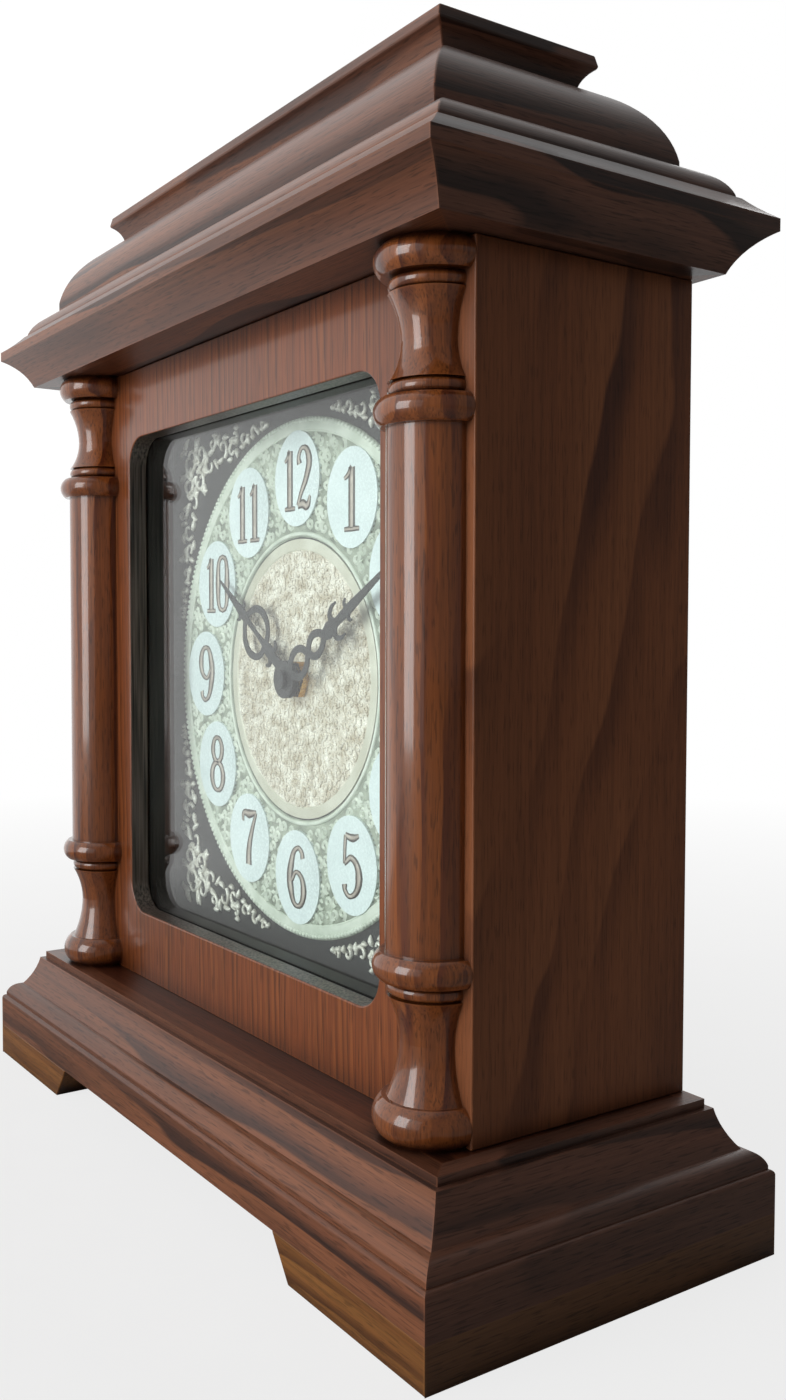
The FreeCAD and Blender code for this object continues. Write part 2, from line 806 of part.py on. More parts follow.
def make_housing():
    half, inner, battery_top = housing_limits()
    shell = block(-half, half, movement_front, cover_front,
                  dial_centre_height - half, dial_centre_height + half)
    gear_room = block(-inner, inner, gear_floor, cover_front, battery_top + partition,
                      dial_centre_height + inner)
    battery_room = block(-inner, inner, gear_floor, cover_front, dial_centre_height - inner, battery_top)
    bush = arbor(hub, bush_front, gear_floor, bush_radius)
    post = arbor(motion_place, gear_floor, layer(1) + wheel_thickness + post_reach, post_radius)
    pivots = [arbor(place, gear_floor - pivot_depth, gear_floor, arbor_radius + running_fit)
              for place in (third_place, intermediate_place, rotor_place, setting_place)]
    bore = arbor(hub, bush_front, gear_floor, hour_tube_radius + running_fit)
    shell = shell.cut([gear_room, battery_room]).fuse([bush, post]).removeSplitter()
    save("movement_housing", shell.cut(pivots + [bore]).Solids[0])

    cover = block(-half, half, cover_front, cover_front + housing_wall, battery_top,
                  dial_centre_height + half)
    holes = [arbor(place, cover_front, cover_front + pivot_depth, arbor_radius + running_fit)
             for place in (third_place, intermediate_place, rotor_place)]
    holes.append(arbor(hub, cover_front, cover_front + pivot_depth, second_arbor_radius + running_fit))
    holes.append(arbor(setting_place, cover_front, cover_front + housing_wall,
                       setting_arbor_radius + running_fit))
    save("movement_cover", cover.cut(holes))

    nut_radius = nut_flats / math.sqrt(3)
    points = [polar(hub, nut_radius, 60 * corner) for corner in range(6)]
    points = [vector(x, nut_front, z) for x, z in points]
    nut = Part.Face(Part.makePolygon(points + points[:1])).extrude(vector(0, nut_height, 0))
    save("movement_nut", nut.cut(arbor(hub, nut_front, disc_front, bush_radius + press_gap)))


def make_electrics():
    half, inner, battery_top = housing_limits()
    cell_y = gear_floor + battery_clearance + battery_radius
    cell_z = battery_top - battery_clearance - battery_radius
    left = -battery_length / 2
    body = Part.makeCylinder(battery_radius, battery_length - battery_nub_length,
                             vector(left, cell_y, cell_z), vector(1, 0, 0))
    nub = Part.makeCylinder(battery_nub_radius, battery_nub_length,
                            vector(-left - battery_nub_length, cell_y, cell_z), vector(1, 0, 0))
    save("battery", body.fuse(nub).removeSplitter())
    contacts = []
    for x0, x1 in ((-inner, left), (-left, inner)):
        contacts.append(block(x0, x1, cell_y - battery_nub_radius, cell_y + battery_nub_radius,
                              cell_z - battery_nub_radius, cell_z + battery_nub_radius))
    save("battery_contacts", *contacts)

    plate_front = layer(6) + (rotor_magnet_height - stator_thickness) / 2
    plate_rear = plate_front + stator_thickness
    low = rotor_place[1] - stator_width / 2
    high = rotor_place[1] + stator_width / 2
    arm_right = inner
    arm_left = arm_right - 2 * stator_arm_width - coil_length
    plate = joined(
        block(-inner, inner, plate_front, plate_rear, low, high),
        block(arm_left, arm_left + stator_arm_width, plate_front, plate_rear, high, high + stator_arm_rise),
        block(arm_right - stator_arm_width, arm_right, plate_front, plate_rear, high, high + stator_arm_rise))
    hole = arbor(rotor_place, plate_front, plate_rear, rotor_magnet_radius + stator_hole_clearance)
    save("stator", plate.cut(hole))
    coil_place = vector(arm_left + stator_arm_width, plate_rear - coil_radius,
                        high + stator_arm_rise / 2)
    save("coil", Part.makeCylinder(coil_radius, coil_length, coil_place, vector(1, 0, 0)))

    board_top = low - layer_clearance
    save("circuit_board", block(-inner, -inner + circuit_width, plate_front,
                                plate_front + circuit_thickness, board_top - circuit_height, board_top))


# Rear door

def hinge_heights():
    return [dial_centre_height + side * hinge_spacing / 2 for side in (-1, 1)]


def hinge_screw_places(side):
    x = hinge_x + side * (knuckle_radius + (leaf_width - knuckle_radius) / 2)
    return [(x, z + end * hinge_screw_spacing / 2) for z in hinge_heights() for end in (-1, 1)]


def hinge_leaf(side, z):
    # the frame's leaf carries the two end knuckles and the door's leaf the middle one
    third = hinge_length / 3
    low = z - hinge_length / 2
    spans = [(low, low + third), (low + 2 * third, low + hinge_length)]
    if side < 0:
        spans = [(low + third, low + 2 * third)]
    near = hinge_x + side * (knuckle_radius + knuckle_gap)
    x0, x1 = sorted((near, hinge_x + side * leaf_width))
    shape = block(x0, x1, case_back, case_back + leaf_thickness, low, low + hinge_length)
    for z0, z1 in spans:
        z0 = z0 + knuckle_gap / 2
        z1 = z1 - knuckle_gap / 2
        web0, web1 = sorted((hinge_x, near + side * knuckle_radius))
        web = block(web0, web1, case_back + knuckle_lift, case_back + leaf_thickness, z0, z1)
        knuckle = Part.makeCylinder(knuckle_radius, z1 - z0, vector(hinge_x, hinge_y, z0))
        shape = shape.fuse([web, knuckle])
    bore = Part.makeCylinder(hinge_pin_radius + hinge_pin_fit, hinge_length, vector(hinge_x, hinge_y, low))
    shape = shape.cut(bore)
    holes = [cylinder_y(x, case_back, case_back + leaf_thickness, height,
                        screw_shank_radius + screw_clearance)
             for x, height in hinge_screw_places(side)]
    return shape.cut(holes).removeSplitter().Solids[0]


def screw_holes(side):
    return [cylinder_y(x, case_back + leaf_thickness - screw_length, case_back, z,
                       screw_shank_radius + screw_clearance) for x, z in hinge_screw_places(side)]


def make_back():
    half = door_width / 2
    panel = block(-inner_half_width, inner_half_width, back_front, case_back, base_height, soffit)
    doorway = block(-half, half, back_front, case_back, dial_centre_height - door_height / 2,
                    dial_centre_height + door_height / 2)
    save("back_panel", panel.cut([doorway] + screw_holes(1)))
    half = door_width / 2 - door_gap
    door = block(-half, half, back_front, case_back,
                 dial_centre_height - door_height / 2 + door_gap,
                 dial_centre_height + door_height / 2 - door_gap)
    knob_x = -half + door_knob_inset
    knob_hole = cylinder_y(knob_x, back_front, case_back, dial_centre_height,
                           knob_screw_radius + screw_clearance)
    save("rear_door", door.cut([knob_hole] + screw_holes(-1)))
    save("hinge_leaf_frame", *[hinge_leaf(1, z) for z in hinge_heights()])
    save("hinge_leaf_door", *[hinge_leaf(-1, z) for z in hinge_heights()])
    save("hinge_pins", *[Part.makeCylinder(hinge_pin_radius, hinge_length,
                                           vector(hinge_x, hinge_y, z - hinge_length / 2))
                         for z in hinge_heights()])
    seat = case_back + leaf_thickness
    save("hinge_screws_frame", *[slotted_screw(x, z, seat) for x, z in hinge_screw_places(1)])
    save("hinge_screws_door", *[slotted_screw(x, z, seat) for x, z in hinge_screw_places(-1)])

    stem_end = case_back + door_knob_length - door_knob_radius
    stem = cylinder_y(knob_x, case_back, stem_end, dial_centre_height, door_knob_stem_radius)
    ball = Part.makeSphere(door_knob_radius, vector(knob_x, stem_end, dial_centre_height))
    ball = ball.cut(block(knob_x - door_knob_radius, knob_x + door_knob_radius,
                          stem_end - door_knob_radius, stem_end - door_knob_radius / 2,
                          dial_centre_height - door_knob_radius, dial_centre_height + door_knob_radius))
    screw = cylinder_y(knob_x, back_front, case_back, dial_centre_height, knob_screw_radius)
    save("door_knob", joined(stem, ball, screw))

    # the catch bridges from the panel's inner face to behind the knob's screw
    edge = -door_width / 2
    foot = block(edge - magnet_width, edge - door_gap, back_front - magnet_height, back_front,
                 dial_centre_height - magnet_length / 2, dial_centre_height + magnet_length / 2)
    arm = block(edge - door_gap, knob_x + knob_screw_radius, back_front - magnet_height,
                back_front - magnet_gap, dial_centre_height - magnet_width / 2,
                dial_centre_height + magnet_width / 2)
    save("magnet_catch", joined(foot, arm))


os.makedirs("parts", exist_ok=True)
make_feet()
make_base()
make_sides()
make_front_panel()
make_columns()
make_cornice()
make_ledge()
make_dome()
make_cap()
make_surround()
make_glass()
make_dial_plate()
make_chapter_ring()
make_spandrels()
make_hands()
make_motion_work()
make_going_train()
make_housing()
make_electrics()
make_back()
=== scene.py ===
import math
import random

import bmesh
import bpy
from mathutils import Matrix, Vector


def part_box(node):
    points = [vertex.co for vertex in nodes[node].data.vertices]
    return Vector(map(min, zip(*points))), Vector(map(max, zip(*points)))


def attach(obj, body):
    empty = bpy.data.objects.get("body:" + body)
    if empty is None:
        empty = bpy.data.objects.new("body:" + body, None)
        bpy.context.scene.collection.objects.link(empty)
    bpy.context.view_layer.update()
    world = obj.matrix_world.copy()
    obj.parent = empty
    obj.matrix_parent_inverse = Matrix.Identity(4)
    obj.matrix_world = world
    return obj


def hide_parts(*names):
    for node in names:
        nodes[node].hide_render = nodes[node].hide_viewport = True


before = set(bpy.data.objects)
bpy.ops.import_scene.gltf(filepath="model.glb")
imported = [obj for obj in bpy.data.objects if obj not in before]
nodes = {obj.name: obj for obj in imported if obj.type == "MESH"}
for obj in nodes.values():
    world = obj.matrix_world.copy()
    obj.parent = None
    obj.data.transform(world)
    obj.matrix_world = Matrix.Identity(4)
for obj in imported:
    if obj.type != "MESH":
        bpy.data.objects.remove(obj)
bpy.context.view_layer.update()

# Table clock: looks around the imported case, dial, hands and movement
mm = 0.001
fullTurn = 2 * math.pi
print("frame loaded:", len(nodes), "nodes")


# small tools for pieces

def makeActive(piece):
    bpy.ops.object.select_all(action="DESELECT")
    piece.select_set(True)
    bpy.context.view_layer.objects.active = piece


def addObject(name, data):
    piece = bpy.data.objects.new(name, data)
    bpy.context.collection.objects.link(piece)
    return piece


def addDisc(name, radius, corners):
    bpy.ops.mesh.primitive_circle_add(vertices=corners, radius=radius * mm, fill_type="NGON")
    bpy.context.object.name = name
    return bpy.context.object


def startEdit():
    bpy.ops.object.mode_set(mode="EDIT")
    bpy.ops.mesh.select_all(action="SELECT")


def endEdit():
    # all faces outward, then back to the whole piece
    bpy.ops.mesh.select_all(action="SELECT")
    bpy.ops.mesh.normals_make_consistent(inside=False)
    bpy.ops.object.mode_set(mode="OBJECT")


def raiseFace(height):
    bpy.ops.mesh.extrude_region_move(TRANSFORM_OT_translate={"value": (0, 0, height * mm)})


def stepIn(width, rise=0.0):
    bpy.ops.mesh.inset(thickness=width * mm, depth=rise * mm)


def asMesh(piece):
    makeActive(piece)
    bpy.ops.object.convert(target="MESH")
    return bpy.context.object


def applyModifier(piece, kind, **settings):
    makeActive(piece)
    modifier = piece.modifiers.new(kind.lower(), kind)
    for name, value in settings.items():
        setattr(modifier, name, value)
    bpy.ops.object.modifier_apply(modifier=modifier.name)


def smoothOver(piece, degrees):
    makeActive(piece)
    bpy.ops.object.shade_smooth_by_angle(angle=math.radians(degrees))


def joinPieces(pieces, name):
    makeActive(pieces[0])
    for piece in pieces:
        piece.select_set(True)
    bpy.ops.object.join()
    pieces[0].name = name
    return pieces[0]


def paintOver(piece, material):
    piece.data.materials.clear()
    piece.data.materials.append(material)


def dress(piece, body, slotName, material, *standsFor):
    paintOver(piece, material)
    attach(piece, body)
    if standsFor:
        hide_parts(*standsFor)


# small tools for materials

def linear(hexColour):
    channels = [int(hexColour[place:place + 2], 16) / 255 for place in (1, 3, 5)]
    return [c / 12.92 if c <= 0.04045 else ((c + 0.055) / 1.055) ** 2.4 for c in channels] + [1.0]


def addNode(tree, kind, inputs=None, **settings):
    node = tree.nodes.new("ShaderNode" + kind)
    for name, value in settings.items():
        setattr(node, name, value)
    for socket, value in (inputs or {}).items():
        if isinstance(value, bpy.types.NodeSocket):
            tree.links.new(value, node.inputs[socket])
        else:
            node.inputs[socket].default_value = value
    return node


def calculate(tree, operation, *values):
    return addNode(tree, "Math", dict(enumerate(values)), operation=operation).outputs[0]


def alongAxis(tree, vector, axis):
    dot = addNode(tree, "VectorMath", {0: vector, 1: axis}, operation="DOT_PRODUCT")
    return dot.outputs["Value"]


def mapped(tree, value, start, end, low=0.0, high=1.0):
    return addNode(tree, "MapRange", {"Value": value, "From Min": start, "From Max": end,
                                      "To Min": low, "To Max": high}).outputs[0]


def spots(tree, place, size, detail):
    # soft noise with spots about size millimetres wide
    return addNode(tree, "TexNoise", {"Vector": place, "Scale": 1000 / size,
                                      "Detail": detail}).outputs["Fac"]


def toned(tree, value, stops):
    ramp = addNode(tree, "ValToRGB", {"Fac": value})
    band = ramp.color_ramp
    while len(band.elements) < len(stops):
        band.elements.new(0.5)
    for element, (place, colour) in zip(band.elements, stops):
        element.position = place
        element.color = colour
    return ramp.outputs["Color"]


def layered(tree, share, under, over, blend="MIX"):
    return addNode(tree, "Mix", {0: share, 6: under, 7: over}, data_type="RGBA",
                   blend_type=blend).outputs[2]


def mixShaders(tree, share, first, second):
    return addNode(tree, "MixShader", {0: share, 1: first.outputs[0], 2: second.outputs[0]})


def newMaterial(name):
    material = bpy.data.materials.new(name)
    material.use_nodes = True
    tree = material.node_tree
    tree.nodes.clear()
    return material, tree, addNode(tree, "TexCoord").outputs["Object"]


def surface(tree, shader, kind="OutputMaterial"):
    tree.links.new(shader.outputs[0], addNode(tree, kind).inputs["Surface"])


# camera at the photograph's place, from a fit to its edges

view = {"place": (0.38494, -0.23480, 0.17656), "azimuth": 55.460, "downTilt": 2.437, "roll": 0.1115,
        "focalPixels": 1300.5, "axisPixel": (385.7, 686.4), "image": (786, 1400), "sensor": 36.0,
        "nearest": 0.01}


def makeCamera():
    camera = addObject("camera", bpy.data.cameras.new("camera"))
    turn, tilt, roll = (math.radians(view[key]) for key in ("azimuth", "downTilt", "roll"))
    back = Vector((math.sin(turn) * math.cos(tilt), -math.cos(turn) * math.cos(tilt), math.sin(tilt)))
    level = Vector((math.cos(turn), math.sin(turn), 0))
    upright = back.cross(level)
    right = level * math.cos(roll) + upright * math.sin(roll)
    up = upright * math.cos(roll) - level * math.sin(roll)
    camera.matrix_world = Matrix((right, up, back)).transposed().to_4x4()
    camera.location = view["place"]
    longSide = max(view["image"])
    lens = camera.data
    lens.sensor_width = view["sensor"]
    lens.lens = view["focalPixels"] / longSide * view["sensor"]
    lens.shift_x = (view["image"][0] / 2 - view["axisPixel"][0]) / longSide
    lens.shift_y = (view["axisPixel"][1] - view["image"][1] / 2) / longSide
    lens.clip_start = view["nearest"]
    bpy.context.scene.camera = camera


# pale floor, a tall window and the bright room in front, a weaker lamp behind, low fill all round

studio = {"floor": "#b9b7b4", "floorSpeck": "#b0aeab", "speckSize": 25, "speckStops": (0.3, 0.7),
          "floorSize": 9.0, "floorFade": (0.15, 1.0), "floorGlow": (0.80, 1.0), "glow": "#ffffff",
          "tableEdge": (-0.35, -0.5), "aim": (0.0, -0.03, 0.16), "fill": 0.37,
          "paleWall": (-0.80, -0.25, 0.55), "wallEdges": (0.1, 0.75), "wallTones": (0.2, 1.05)}
lamps = {"window": {"place": (-0.12, -1.53, 0.50), "size": (0.72, 1.15), "power": 13.2},
         "room": {"place": (0.30, -1.50, 0.50), "size": (1.2, 1.15), "power": 2.5},
         "rear": {"place": (-0.45, 1.45, 0.70), "size": (0.9, 0.9), "power": 5.0}}
dialLamp = dict(lamps["window"], power=20.0)


def softLight(name, look, receivers):
    lamp = bpy.data.lights.new(name, "AREA")
    lamp.shape = "RECTANGLE"
    lamp.size, lamp.size_y = look["size"]
    lamp.energy = look["power"]
    light = addObject(name, lamp)
    light.visible_camera = False
    light.location = look["place"]
    heading = Vector(studio["aim"]) - Vector(look["place"])
    light.rotation_euler = heading.to_track_quat("-Z", "Y").to_euler()
    light.light_linking.receiver_collection = receivers


def sceneryRays(tree, path, inGloss):
    # how far a ray shows the backdrop: to the eye or through glass fully, in a reflection by inGloss
    glossy = calculate(tree, "MULTIPLY", path["Is Glossy Ray"], inGloss)
    seen = calculate(tree, "MAXIMUM", path["Is Camera Ray"], glossy)
    return calculate(tree, "MAXIMUM", seen, path["Is Transmission Ray"])


def makeFloor():
    bpy.ops.mesh.primitive_plane_add(size=studio["floorSize"])
    floor = bpy.context.object
    floor.name = "floor"
    material, tree, place = newMaterial("painted studio floor")  # pale, keeps a soft shadow
    away = addNode(tree, "VectorMath", {0: place}, operation="LENGTH").outputs["Value"]
    across = addNode(tree, "SeparateXYZ", {0: place}).outputs["X"]
    # in reflections the floor is dull like a table top, and past its left edge as pale as the wall
    mirrored = mapped(tree, across, *studio["tableEdge"])
    shown = sceneryRays(tree, addNode(tree, "LightPath").outputs, mirrored)
    glowing = mapped(tree, away, *studio["floorFade"], *studio["floorGlow"])
    share = calculate(tree, "MULTIPLY", shown, glowing)
    colours = [linear(studio[key]) for key in ("floorSpeck", "floor")]
    tone = toned(tree, spots(tree, place, studio["speckSize"], 2.0),
                 list(zip(studio["speckStops"], colours)))
    dull = addNode(tree, "BsdfDiffuse", {"Color": tone})
    glow = addNode(tree, "Emission", {"Color": linear(studio["glow"]), "Strength": 1.0})
    surface(tree, mixShaders(tree, share, dull, glow))
    floor.data.materials.append(material)


def makeLamps():
    # the pane mirrors the walls but not the lamps, which would hide the dial from straight ahead
    unmirrored = bpy.data.collections.new("unmirrored")
    unmirrored.objects.link(nodes["glass_pane"])
    unmirrored.collection_objects[0].light_linking.link_state = "EXCLUDE"
    for name, look in lamps.items():
        softLight(name + "Light", look, unmirrored)


def makeWalls():
    world = bpy.data.worlds.new("studio")
    bpy.context.scene.world = world
    world.use_nodes = True
    tree = world.node_tree
    tree.nodes.clear()
    path = addNode(tree, "LightPath").outputs
    shown = sceneryRays(tree, path, 1.0)
    # the lacquer mirrors a pale wall on the left and a dim room on the right, the eye still sees white
    heading = addNode(tree, "TexCoord").outputs["Generated"]
    toWall = alongAxis(tree, heading, studio["paleWall"])
    mirrored = mapped(tree, toWall, *studio["wallEdges"], *studio["wallTones"])
    backdrop = calculate(tree, "MAXIMUM", mirrored, path["Is Camera Ray"])
    fill = calculate(tree, "MULTIPLY", mirrored, studio["fill"])
    strength = addNode(tree, "Mix", {0: shown, 2: fill, 3: backdrop}).outputs[0]
    sky = addNode(tree, "Background", {"Color": linear(studio["glow"]), "Strength": strength})
    surface(tree, sky, "OutputWorld")
    bpy.context.scene.view_settings.view_transform = "Standard"


makeCamera()
makeFloor()
makeLamps()
makeWalls()
print("camera, floor and lights set")


# woods: sizes of the figure in millimetres, colours as seen in the lacquer, shadeReach the reach of the
# painted shade in the angles

sideVeneer = {"dark": "#5f3522", "mid": "#945937", "light": "#a1643f",
              "ringAxis": (0.0, 0.965, -0.26), "ringWidth": 25, "ringDark": 0.42, "fadeLength": 200,
              "wander": 1.1, "wanderWidth": 55, "wanderLength": 130,
              "lineWidth": 1.1, "lineLength": 45, "lineDepth": 0.74,
              "poreWidth": 0.5, "poreLength": 6, "poreDepth": 0.25,
              "shadeReach": 9, "coat": 0.25, "coatRough": 0.3, "rough": 0.45}
longMoulding = {"dark": "#462c23", "mid": "#7d4d36", "light": "#915b3e",
                "ringAxis": (0.0, 0.45, 0.89), "ringWidth": 15, "ringDark": 0.5, "fadeLength": 260,
                "wander": 1.6, "wanderWidth": 26, "wanderLength": 240,
                "lineWidth": 0.9, "lineLength": 60, "lineDepth": 0.62,
                "poreWidth": 0.45, "poreLength": 6, "poreDepth": 0.4,
                "shadeReach": 9, "coat": 0.36, "coatRough": 0.22, "rough": 0.4}
ledgeWood = dict(longMoulding, dark="#3a1d12", mid="#5c301e", light="#6a3823")
# the side moulding wood, grain front to back, is darker than the front's: painted shade on the side-facing
# pieces
deepMouldingShaded = dict(longMoulding, dark="#382722", mid="#6b4839", light="#7b5241",
                    ringAxis=(0.45, 0.0, 0.89), wanderLength=160, fadeLength=160,
                    lineLength=50, lineDepth=0.66, shadeReach=7)
footSideWood = dict(deepMouldingShaded, dark="#3a2415", mid="#7a5234", light="#8a5f3d")
frontVeneer = {"dark": "#6f3a1d", "mid": "#8d4c28", "light": "#99572d",
               "ringAxis": (1.0, 0.0, 0.03), "ringWidth": 3.6, "ringDark": 0.36, "fadeLength": 45,
               "wander": 1.2, "wanderWidth": 14, "wanderLength": 120,
               "lineWidth": 0.9, "lineLength": 40, "lineDepth": 0.72,
               "poreWidth": 0.5, "poreLength": 12, "poreDepth": 0.4,
               # the front's long reach paints the shade in the strip beside the columns
               "shadeReach": 18, "coat": 0.65, "coatRough": 0.14, "rough": 0.36}
turnedWood = {"dark": "#64301a", "mid": "#8c4d24", "light": "#a05a2b",
              "ringAxis": (0.8, 0.6, 0.0), "ringWidth": 6.5, "ringDark": 0.4, "fadeLength": 90,
              "wander": 1.2, "wanderWidth": 14, "wanderLength": 120,
              "lineWidth": 0.8, "lineLength": 40, "lineDepth": 0.66,
              "poreWidth": 0.45, "poreLength": 5, "poreDepth": 0.4,
              "shadeReach": 6, "coat": 1.0, "coatRough": 0.08, "rough": 0.34}
footWood = {"dark": "#6a4120", "mid": "#8a582c", "light": "#9c6835",
            "ringAxis": (0.0, 0.4, 0.92), "ringWidth": 7, "ringDark": 0.4, "fadeLength": 110,
            "wander": 1.2, "wanderWidth": 16, "wanderLength": 130,
            "lineWidth": 0.9, "lineLength": 45, "lineDepth": 0.68,
            "poreWidth": 0.4, "poreLength": 5, "poreDepth": 0.35,
            "shadeReach": 9, "coat": 0.3, "coatRough": 0.3, "rough": 0.45}
carcassWood = {"dark": "#4a2f20", "mid": "#6c4730", "light": "#7d563a",
               "ringAxis": (0.97, 0.25, 0.0), "ringWidth": 24, "ringDark": 0.34, "fadeLength": 260,
               "wander": 2.2, "wanderWidth": 60, "wanderLength": 330,
               "lineWidth": 1.2, "lineLength": 70, "lineDepth": 0.75,
               "poreWidth": 0.5, "poreLength": 7, "poreDepth": 0.3,
               "shadeReach": 9, "coat": 0.2, "coatRough": 0.35, "rough": 0.55}

# what all the woods share; the noise that draws a layer runs from one stop to the other
clear = (1, 1, 1, 1)
lacquer = {"ringLight": (0.75, 0.95), "ringSpread": 1.3, "ringStops": (0.36, 0.62), "ringShare": (0.1, 1.0),
           "lineStops": (0.30, 0.62), "lineLight": (1.05, 1.05, 1.05, 1), "poreStops": (0.28, 0.40),
           "cloudSize": (70, 240), "cloudStops": (0.3, 0.7),
           "cloudTones": ((0.84, 0.82, 0.80, 1), (1.1, 1.1, 1.1, 1)),
           # painted shade in the angles: shadeTone where little is open round a point, clear where it is open
           "shadeStops": (0.35, 0.8), "shadeTone": (0.16, 0.13, 0.12, 1),
           # arrises are lightened for wear and as a painted highlight
           "arris": 0.9, "arrisTurn": (0.995, 0.9), "arrisWearAndHighlight": 0.45, "rays": 4,
           "glossier": -0.05, "duller": 0.07, "lineRelief": 0.35, "relief": 0.22, "reliefDepth": 0.25,
           "specular": 0.2, "index": 1.5}


def grainScale(grain, across, along):
    return [1000 / (along if axis == grain else across) for axis in "xyz"]


def lacqueredWood(name, look, grain):
    # open-pored wood under lacquer: wandering rings, fine lines, dark pores and a soft gloss
    material, tree, place = newMaterial(name)
    dark, mid, light = (linear(look[key]) for key in ("dark", "mid", "light"))

    def stretched(across, along, detail=0.0, roughness=0.5, distortion=0.0):
        scaled = addNode(tree, "Mapping", {"Vector": place, "Scale": grainScale(grain, across, along)})
        noise = addNode(tree, "TexNoise", {"Vector": scaled.outputs[0], "Scale": 1.0, "Detail": detail,
                                           "Roughness": roughness, "Distortion": distortion})
        return noise.outputs["Fac"]

    # growth rings cut by the board's face: evenly spaced sheets that wander along the grain
    axis = [1000 / look["ringWidth"] * share for share in look["ringAxis"]]
    sheets = alongAxis(tree, place, axis)
    wander = stretched(look["wanderWidth"], look["wanderLength"], 2.0, 0.5, 0.3)
    field = calculate(tree, "MULTIPLY_ADD", wander, look["wander"] * 2, sheets)
    lightStart, lightEnd = lacquer["ringLight"]
    rings = toned(tree, calculate(tree, "FRACT", field),  # a ring stops short, then fades
                  [(0.0, dark), (look["ringDark"] / 3, dark), (look["ringDark"], mid),
                   (lightStart, light), (lightEnd, light), (1.0, dark)])
    fading = stretched(look["ringWidth"] * lacquer["ringSpread"], look["fadeLength"], 1.0)
    strength = mapped(tree, fading, *lacquer["ringStops"], *lacquer["ringShare"])
    colour = layered(tree, strength, mid, rings)

    lines = stretched(look["lineWidth"], look["lineLength"], 3.0, 0.65)
    pores = stretched(look["poreWidth"], look["poreLength"])  # drawn coarser than real pores
    patch = stretched(*lacquer["cloudSize"], 1.0)
    lineDark = [look["lineDepth"]] * 3 + [1]
    poreDark = [1 - look["poreDepth"]] * 3 + [1]
    # painted shade: darker in the angles and crevices, where shade falls
    reach = addNode(tree, "AmbientOcclusion", {"Distance": look["shadeReach"] * mm},
                    samples=lacquer["rays"]).outputs["AO"]
    for value, stops, tones in ((lines, "lineStops", (lineDark, lacquer["lineLight"])),
                                (pores, "poreStops", (poreDark, clear)),
                                (patch, "cloudStops", lacquer["cloudTones"]),
                                (reach, "shadeStops", (lacquer["shadeTone"], clear))):
        layer = toned(tree, value, list(zip(lacquer[stops], tones)))
        colour = layered(tree, 1.0, colour, layer, "MULTIPLY")

    # rubbed arrises with a painted highlight: lighter where the edge turns
    softened = addNode(tree, "Bevel", {"Radius": lacquer["arris"] * mm}, samples=lacquer["rays"])
    facing = addNode(tree, "NewGeometry").outputs["Normal"]
    turned = alongAxis(tree, softened.outputs[0], facing)
    wornAndHighlit = mapped(tree, turned, *lacquer["arrisTurn"], 0.0, lacquer["arrisWearAndHighlight"])
    colour = layered(tree, wornAndHighlit, colour, light)

    gloss = mapped(tree, patch, *lacquer["cloudStops"], look["rough"] + lacquer["glossier"],
                   look["rough"] + lacquer["duller"])
    relief = addNode(tree, "Mix", {0: lacquer["lineRelief"], 2: pores, 3: lines}).outputs[0]
    bump = addNode(tree, "Bump", {"Height": relief, "Strength": lacquer["relief"],
                                  "Distance": lacquer["reliefDepth"] * mm})
    surface(tree, addNode(tree, "BsdfPrincipled", {
        "Base Color": colour, "Roughness": gloss, "Normal": bump.outputs[0],
        "Specular IOR Level": lacquer["specular"], "Coat Weight": look["coat"],
        "Coat Roughness": look["coatRough"], "IOR": lacquer["index"]}))
    return material


stain = {"lineWidth": 0.8, "lineLength": 40, "deep": "#0a0909", "stops": (0.3, 0.7),
         "relief": 0.15, "reliefDepth": 0.2, "specular": 0.25}


def blackStain(name, colour, rough):
    # black stain under thin lacquer: nearly even, with faint brush lines
    material, tree, place = newMaterial(name)
    brush = grainScale("z", stain["lineWidth"], stain["lineLength"])
    scaled = addNode(tree, "Mapping", {"Vector": place, "Scale": brush}).outputs[0]
    lines = addNode(tree, "TexNoise", {"Vector": scaled, "Scale": 1.0, "Detail": 2.0}).outputs["Fac"]
    tone = toned(tree, lines, list(zip(stain["stops"], (linear(stain["deep"]), linear(colour)))))
    bump = addNode(tree, "Bump", {"Height": lines, "Strength": stain["relief"],
                                  "Distance": stain["reliefDepth"] * mm})
    surface(tree, addNode(tree, "BsdfPrincipled", {
        "Base Color": tone, "Roughness": rough, "Specular IOR Level": stain["specular"],
        "Normal": bump.outputs[0]}))
    return material


fineGrain = {"toneStops": (0.32, 0.68), "gritStops": (0.3, 0.7), "glossier": -0.06, "duller": 0.08,
             "depth": 0.1}


def grainySurface(name, look):
    # paint, plastic or metal with a fine grit, cloudy gloss and slight stains
    material, tree, place = newMaterial(name)
    grit = spots(tree, place, look["grit"], 3.0)
    tones = (linear(look["low"]), linear(look["high"]))
    tone = toned(tree, spots(tree, place, look["cloud"], 2.0), list(zip(fineGrain["toneStops"], tones)))
    gloss = mapped(tree, grit, *fineGrain["gritStops"], look["rough"] + fineGrain["glossier"],
                   look["rough"] + fineGrain["duller"])
    bump = addNode(tree, "Bump", {"Height": grit, "Strength": look["bump"],
                                  "Distance": fineGrain["depth"] * mm})
    surface(tree, addNode(tree, "BsdfPrincipled", {
        "Base Color": tone, "Metallic": look.get("metal", 0.0), "Roughness": gloss,
        "Normal": bump.outputs[0]}))
    return material


pane = {"tint": "#f6fbf9", "dust": "#d8d6d0", "smearSize": 45, "smear": (0.45, 0.8), "film": 0.03,
        "index": 1.5}


